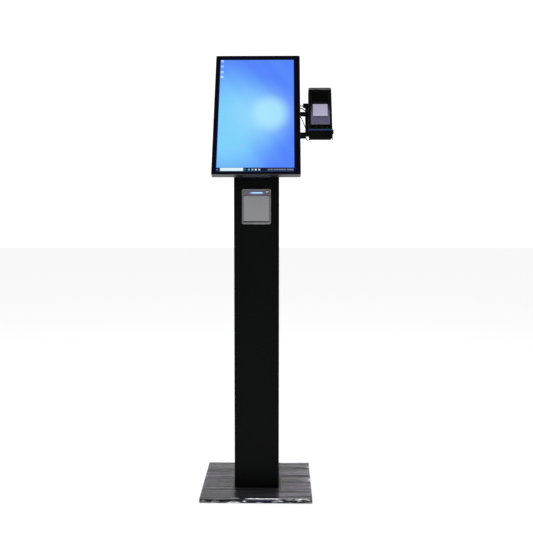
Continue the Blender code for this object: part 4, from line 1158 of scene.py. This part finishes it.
def make_printer_front():
    """The bezel with its openings, a brighter grey rim round its edge and a brighter grey strip
    along its foot.
    """
    low = (BEZEL_LOW.x, BEZEL_LOW.z)
    high = (BEZEL_HIGH.x, BEZEL_HIGH.z)
    door_low, door_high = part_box("printer_door")
    button = (BUTTON_LOW + BUTTON_HIGH) / 2
    clearance = 0.0005
    hole_radius = 0.0058
    hole_steps = 28
    ring = [(button.x + hole_radius * math.cos(a), button.z + hole_radius * math.sin(a))
            for a in (2 * math.pi * i / hole_steps for i in range(hole_steps))]
    slot = round_rectangle((LIGHT_LOW.x - clearance, LIGHT_LOW.z - clearance),
                           (LIGHT_HIGH.x + clearance, LIGHT_HIGH.z + clearance), 0.0022)
    opening = round_rectangle((door_low.x - clearance, BEZEL_LOW.z + 0.0072),
                              (door_high.x + clearance, door_high.z + 0.0012), 0.0018)
    bezel = flat_plate([round_rectangle(low, high, 0.0060, 7), opening, slot, ring],
                       BEZEL_LOW.y, BEZEL_HIGH.y, 0.0005, 3)
    add_piece("finished_printer_bezel", bezel, "stand", BEZEL_GREY, ["printer_bezel"])
    inset = 0.0010
    rim = [Vector((x, BEZEL_LOW.y - 0.0001, z)) for x, z in
           round_rectangle((low[0] + inset, low[1] + inset), (high[0] - inset, high[1] - inset),
                           0.0052, 7)]
    add_piece("printer_bezel_rim", ring_tube(rim, 0.0010), "stand", RIM_GREY)
    foot_inset = 0.0070
    foot = box_mesh((BEZEL_LOW.x + foot_inset, BEZEL_LOW.y - 0.0003, BEZEL_LOW.z + 0.0026),
                    (BEZEL_HIGH.x - foot_inset, BEZEL_LOW.y + 0.0006, BEZEL_LOW.z + 0.0062),
                    0.0004)
    add_piece("printer_bezel_foot", foot, "stand", RIM_GREY)


# ---------------------------------------------------------------- clear wrap

WRAP_SKIRT = 0.0140
WRAP_RISE = 0.0006
WRAP_EASE = 0.0004
WRAP_HOLE_EASE = 0.0012
WRAP_THICKNESS = 0.00012
WRAP_COLUMNS = 110
WRAP_ROWS = 190
CREASED_BAND = 0.016
WAVE_HEIGHT = 0.00022
CREASE_HEIGHT = 0.0016
WRAP_FOLDS = [
    # start and end across, height, rise from the top's edge, arch, how far back, bunched film
    # with a painted highlight or a dark painted shade under a fold, how even it is
    (-0.040, 0.086, 0.0044, 0.0022, -0.0010, 0.003, "bunched_highlight", 1.0),
    (-0.034, 0.085, 0.0054, -0.0026, 0.0, -0.0010, "painted_fold_shade", 1.0),
    (-0.112, -0.056, 0.0052, -0.0118, 0.0010, -0.0010, "bunched_highlight", 0.5),
    (-0.049, -0.037, 0.0060, -0.0080, 0.0015, -0.0010, "bunched_highlight", 0.0),
    (0.002, 0.027, 0.0026, -0.0105, 0.0, -0.0010, "bunched_highlight", 0.0),
    (0.078, 0.106, 0.0034, -0.0060, 0.0010, -0.0010, "bunched_highlight", 0.0),
    (0.124, 0.134, 0.0028, -0.0110, 0.0, -0.0010, "bunched_highlight", 0.0),
    (0.140, 0.212, 0.0030, -0.0040, 0.0068, -0.0006, "bunched_highlight", 0.3),
    (0.147, 0.184, 0.0052, -0.0108, 0.0, -0.0008, "painted_fold_shade", 1.0),
    (-0.108, -0.060, 0.0014, 0.0020, 0.0006, 0.006, "bunched_highlight", 0.0),
    (0.108, 0.146, 0.0018, -0.0002, -0.0010, 0.001, "bunched_highlight", 0.0),
]


def wrap_point(across, along, half_width, front, back, top):
    """Where a point of the flat sheet lies: on the base's top, or folded down over its side."""
    over_x = max(0.0, abs(across) - half_width)
    over_front = max(0.0, front - along)
    over_back = max(0.0, along - back)
    down = max(over_x, over_front, over_back)
    x = math.copysign(min(abs(across), half_width), across)
    y = min(max(along, front), back)
    point = Vector((x, y, top - down))
    outward = Vector((0, 0, 0))
    if over_x:
        outward.x += math.copysign(1, across)
    if over_front:
        outward.y -= 1
    if over_back:
        outward.y += 1
    lift = Vector((0, 0, 1)) if not down else outward.normalized()
    return point, lift, down


def make_wrap():
    """The film over the base: flat on top, creased near its edges and folded down its sides."""
    half_width = BASE_HIGH.x + WRAP_EASE
    front = BASE_LOW.y - WRAP_EASE
    back = BASE_HIGH.y + WRAP_EASE
    top = BASE_HIGH.z + WRAP_RISE
    wide = half_width + WRAP_SKIRT
    near = front - WRAP_SKIRT
    far = back + WRAP_SKIRT
    hole_x = POST_HIGH.x + WRAP_HOLE_EASE
    hole_y = POST_HIGH.y + WRAP_HOLE_EASE
    bm = bmesh.new()
    bunched_highlight = bm.verts.layers.float.new("bunched_highlight")
    grid = {}
    for i in range(WRAP_COLUMNS + 1):
        for j in range(WRAP_ROWS + 1):
            across = -wide + 2 * wide * i / WRAP_COLUMNS
            along = near + (far - near) * j / WRAP_ROWS
            point, lift, down = wrap_point(across, along, half_width, front, back, top)
            edge = min(abs(along - front), abs(along - back), abs(abs(across) - half_width))
            close = max(0.0, 1 - edge / CREASED_BAND) if not down else 1.0
            wave = noise.noise(Vector((across * 5, along * 62, 1.3)))
            crease = noise.noise(Vector((across * 34, along * 46, 7.7)))
            height = WAVE_HEIGHT * (wave + 1) + CREASE_HEIGHT * close * max(0.0, crease)
            vert = bm.verts.new(point + lift * height)
            # Painted highlight: how white the creases near the edges turn, less of it towards the
            # left.
            highlight_share = 0.3 + 0.7 * min(1.0, max(0.0, (across + 0.10) / 0.06))
            vert[bunched_highlight] = min(1.0, max(0.0, 1.5 * close * highlight_share * (crease - 0.12)))
            grid[i, j] = vert
    step_x = 2 * wide / WRAP_COLUMNS
    step_y = (far - near) / WRAP_ROWS
    for i in range(WRAP_COLUMNS):
        for j in range(WRAP_ROWS):
            x = -wide + step_x * (i + 0.5)
            y = near + step_y * (j + 0.5)
            if abs(x) < hole_x + step_x / 2 and abs(y) < hole_y + step_y / 2:
                continue
            bm.faces.new((grid[i, j], grid[i + 1, j], grid[i + 1, j + 1], grid[i, j + 1]))
    bmesh.ops.delete(bm, geom=[v for v in bm.verts if not v.link_faces], context="VERTS")
    film = add_piece("clear_wrap", bm, "stand", WRAP, ["protective_film"], sharp=180)
    film.modifiers.clear()
    thickness = film.modifiers.new("film_thickness", "SOLIDIFY")
    thickness.thickness = WRAP_THICKNESS
    thickness.offset = 1
    folds = [make_wrap_fold(number, *values) for number, values in enumerate(WRAP_FOLDS)]


def make_wrap_fold(number, start, end, height, rise, arch, inward, kind, even):
    """A strip along the base's front edge: film bunched up, white as a painted highlight, or a
    deep violet strip of painted shade under a fold.
    """
    proud = 0.0012
    front = BASE_LOW.y - proud + inward
    ring_spacing = 0.0014
    steps = max(16, round((end - start) / ring_spacing))
    around = 12
    depth = 0.0010
    bm = bmesh.new()
    value = bm.verts.layers.float.new(kind)
    rings = []
    for i in range(steps + 1):
        share = i / steps
        across = start + (end - start) * share
        swell = max(0.0, math.sin(math.pi * share)) ** 0.5
        rough = noise.noise(Vector((across * 85, number * 3.1, 0)))
        centre = Vector((across, front + 0.0005 * rough,
                         BASE_HIGH.z + rise + arch * math.sin(math.pi * share) + 0.0011 * rough))
        ring = []
        for k in range(around):
            angle = 2 * math.pi * k / around
            ripple = 1 + 0.75 * noise.noise(Vector((across * 210, k * 0.9, number)))
            offset = Vector((0, depth * math.cos(angle), 0.5 * height * math.sin(angle)))
            vert = bm.verts.new(centre + offset * (0.06 + 0.94 * swell * ripple))
            streak = 0.5 + 1.2 * noise.noise(Vector((across * 120, k * 0.8, number + 9)))
            vert[value] = min(1.0, max(even, 0.25 + swell * streak))
            ring.append(vert)
        rings.append(ring)
    for ring, after in zip(rings, rings[1:]):
        bridge(bm, ring, after)
    bm.faces.new(rings[0])
    bm.faces.new(rings[-1])
    bmesh.ops.recalc_face_normals(bm, faces=bm.faces)
    return add_piece(f"clear_wrap_fold_{number}", bm, "stand", WRAP, sharp=60)


# ---------------------------------------------------------------- fasteners

def make_screw_head():
    """A domed screw head of 1 unit radius with a hexagon socket, its seat at the origin."""
    top = 0.62
    profile = [(0, 0), (1.0, 0), (1.0, 0.20), (0.93, 0.38), (0.76, 0.54), (0.52, top)]
    bm = lathe(profile + [(0.46, top)], 24)
    rim = [v for v in bm.verts if abs(v.co.z - top) < 1e-6 and v.co.xy.length < 0.5]
    rim.sort(key=lambda v: math.atan2(v.co.y, v.co.x))
    sunk = []
    socket_flat = 0.36
    for vert in rim:
        angle = math.atan2(vert.co.y, vert.co.x)
        sector = (angle + math.pi / 6) % (math.pi / 3) - math.pi / 6
        radius = socket_flat / math.cos(sector)
        sunk.append((radius * math.cos(angle), radius * math.sin(angle)))
    upper = [bm.verts.new((x, y, 0.60)) for x, y in sunk]
    lower = [bm.verts.new((x * 0.98, y * 0.98, 0.26)) for x, y in sunk]
    count = len(rim)
    for i in range(count):
        j = (i + 1) % count
        bm.faces.new((rim[i], rim[j], upper[j], upper[i]))
        bm.faces.new((upper[i], upper[j], lower[j], lower[i]))
    bm.faces.new(lower)
    bmesh.ops.recalc_face_normals(bm, faces=bm.faces)
    mesh = bpy.data.meshes.new("screw_head")
    bm.to_mesh(mesh)
    bm.free()
    obj = bpy.data.objects.new("screw_head", mesh)
    SCENE.collection.objects.link(obj)
    return obj


def make_fastener_tree():
    """Sets a head on each point, aimed along the point's own direction and turned at random."""
    tree = bpy.data.node_groups.new("set_fasteners", "GeometryNodeTree")
    face = tree.interface
    sockets = {}
    for name, kind in (("Points", "Geometry"), ("Head", "Object"), ("Radius", "Float"),
                       ("Finish", "Material"), ("Seed", "Int")):
        sockets[name] = face.new_socket(name, in_out="INPUT",
                                        socket_type="NodeSocket" + kind).identifier
    face.new_socket("Fasteners", in_out="OUTPUT", socket_type="NodeSocketGeometry")
    wires = Wiring(tree)
    entry = wires.node("NodeGroupInput").outputs
    shape = wires.node("GeometryNodeObjectInfo", {"Object": entry["Head"]})
    aim = wires.node("GeometryNodeInputNamedAttribute", {"Name": "aim"}, data_type="FLOAT_VECTOR")
    turn = wires.node("FunctionNodeAlignRotationToVector", {"Vector": aim.outputs["Attribute"]},
                      axis="Z")
    spin = wires.node("FunctionNodeRandomValue", {"Seed": entry["Seed"]}, data_type="FLOAT")
    most = next(s for s in spin.inputs if s.identifier == "Max_001")
    most.default_value = 2 * math.pi
    angle = next(s for s in spin.outputs if s.identifier == "Value_001")
    axis_turn = wires.node("FunctionNodeAxisAngleToRotation", {"Axis": (0, 0, 1), "Angle": angle})
    about = wires.node("FunctionNodeRotateRotation",
                       {"Rotation": turn.outputs["Rotation"],
                        "Rotate By": axis_turn.outputs["Rotation"]}, rotation_space="LOCAL")
    copies = wires.node("GeometryNodeInstanceOnPoints",
                        {"Points": entry["Points"], "Instance": shape.outputs["Geometry"],
                         "Rotation": about.outputs["Rotation"], "Scale": entry["Radius"]})
    real = wires.node("GeometryNodeRealizeInstances")
    wires.feed(real.inputs[0], copies.outputs[0])
    paint = wires.node("GeometryNodeSetMaterial", {"Geometry": real.outputs[0],
                                                   "Material": entry["Finish"]})
    wires.feed(wires.node("NodeGroupOutput").inputs[0], paint.outputs[0])
    return tree, sockets


def plain_from_nodes(points, aims, tree, values):
    """Runs a Geometry Nodes tree on loose points and returns the mesh that it makes."""
    mesh = bpy.data.meshes.new("points")
    mesh.from_pydata([tuple(p) for p in points], [], [])
    store = mesh.attributes.new("aim", "FLOAT_VECTOR", "POINT")
    store.data.foreach_set("vector", [value for aim in aims for value in aim])
    obj = bpy.data.objects.new("points", mesh)
    modifier = obj.modifiers.new("set", "NODES")
    modifier.node_group = tree
    for identifier, value in values.items():
        modifier[identifier] = value
    return take_mesh(obj)


def fastener_places():
    """Name, body, radius and (point, direction) of each set of fasteners."""
    def behind(points, y):
        return [(DISPLAY @ Vector((x, y, z)), DISPLAY.to_3x3() @ back) for x, z in points]

    def level(points, z):
        return [(Vector((x, y, z)), Vector((0, 0, 1))) for x, y in points]

    def grid(columns, rows):
        return [(column, row) for column in columns for row in rows]

    back = Vector((0, 1, 0))
    hinge_boxes = [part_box("hinge_leaf_" + name) for name in ("upper", "lower")]
    hinge_side = hinge_boxes[0][0].x
    hinge_heights = [(low.z + high.z) / 2 for low, high in hinge_boxes]
    cap_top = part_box("post_cap")[1].z
    yoke_sheet = 0.004
    yoke_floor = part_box("tilt_yoke")[0].z + yoke_sheet
    flange_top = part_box("post_flange")[1].z
    inlet_middle = (INLET_LOW + INLET_HIGH) / 2
    return [
        ("housing_screws", "display", 0.0030,
         behind(grid((-0.128, 0.128), (0.074, 0.350, 0.508)) + [(0.0, 0.508)], HOUSING_BACK)),
        ("bracket_screws", "display", 0.0038,
         behind(grid((-0.052, 0.052), (0.200, 0.300, 0.336)), MOUNT_PLATE_BACK)),
        ("arm_screws", "display", 0.0036,
         behind(grid((0.096, 0.126), (0.208, 0.309)) + grid((0.222, 0.274), (0.206, 0.378)),
                BRACKET_BACK)),
        ("hinge_screws", "stand", 0.0024,
         [(Vector((hinge_side, y, z + shift)), Vector((-1, 0, 0)))
          for z in hinge_heights for y, shift in grid((0.042, 0.054), (-0.022, 0.022))]),
        ("cap_screws", "stand", 0.0036,
         level(grid((-0.076, 0.076), (-0.054, 0.054)), cap_top)),
        ("yoke_screws", "stand", 0.0046,
         level(grid((-0.026, 0.026), (0.002, 0.040)), yoke_floor)),
        ("flange_bolts", "stand", 0.0062,
         level(grid((-0.065, 0.065), (-0.045, 0.045)), flange_top)),
        ("inlet_screws", "stand", 0.0021,
         [(Vector((inlet_middle.x + side * 0.0252, INLET_HIGH.y, inlet_middle.z + rise)), back)
          for side, rise in ((-1, 0.0125), (1, -0.0125))]),
    ]


def set_fasteners():
    """Every set of screws and bolts, as one plain mesh for each set."""
    head = make_screw_head()
    tree, sockets = make_fastener_tree()
    for number, (name, body, radius, places) in enumerate(fastener_places()):
        mesh = plain_from_nodes([p for p, aim in places], [aim for p, aim in places], tree,
                                {sockets["Head"]: head, sockets["Radius"]: radius,
                                 sockets["Finish"]: SCREW_ZINC, sockets["Seed"]: number})
        add_mesh(name, mesh, body, SCREW_ZINC)
    bpy.data.objects.remove(head)


make_camera()
make_leads()
make_studio()
finish_casings()
make_terminal_face()
make_holder_sheen_strip()
make_printer_front()
make_wrap()
set_fasteners()
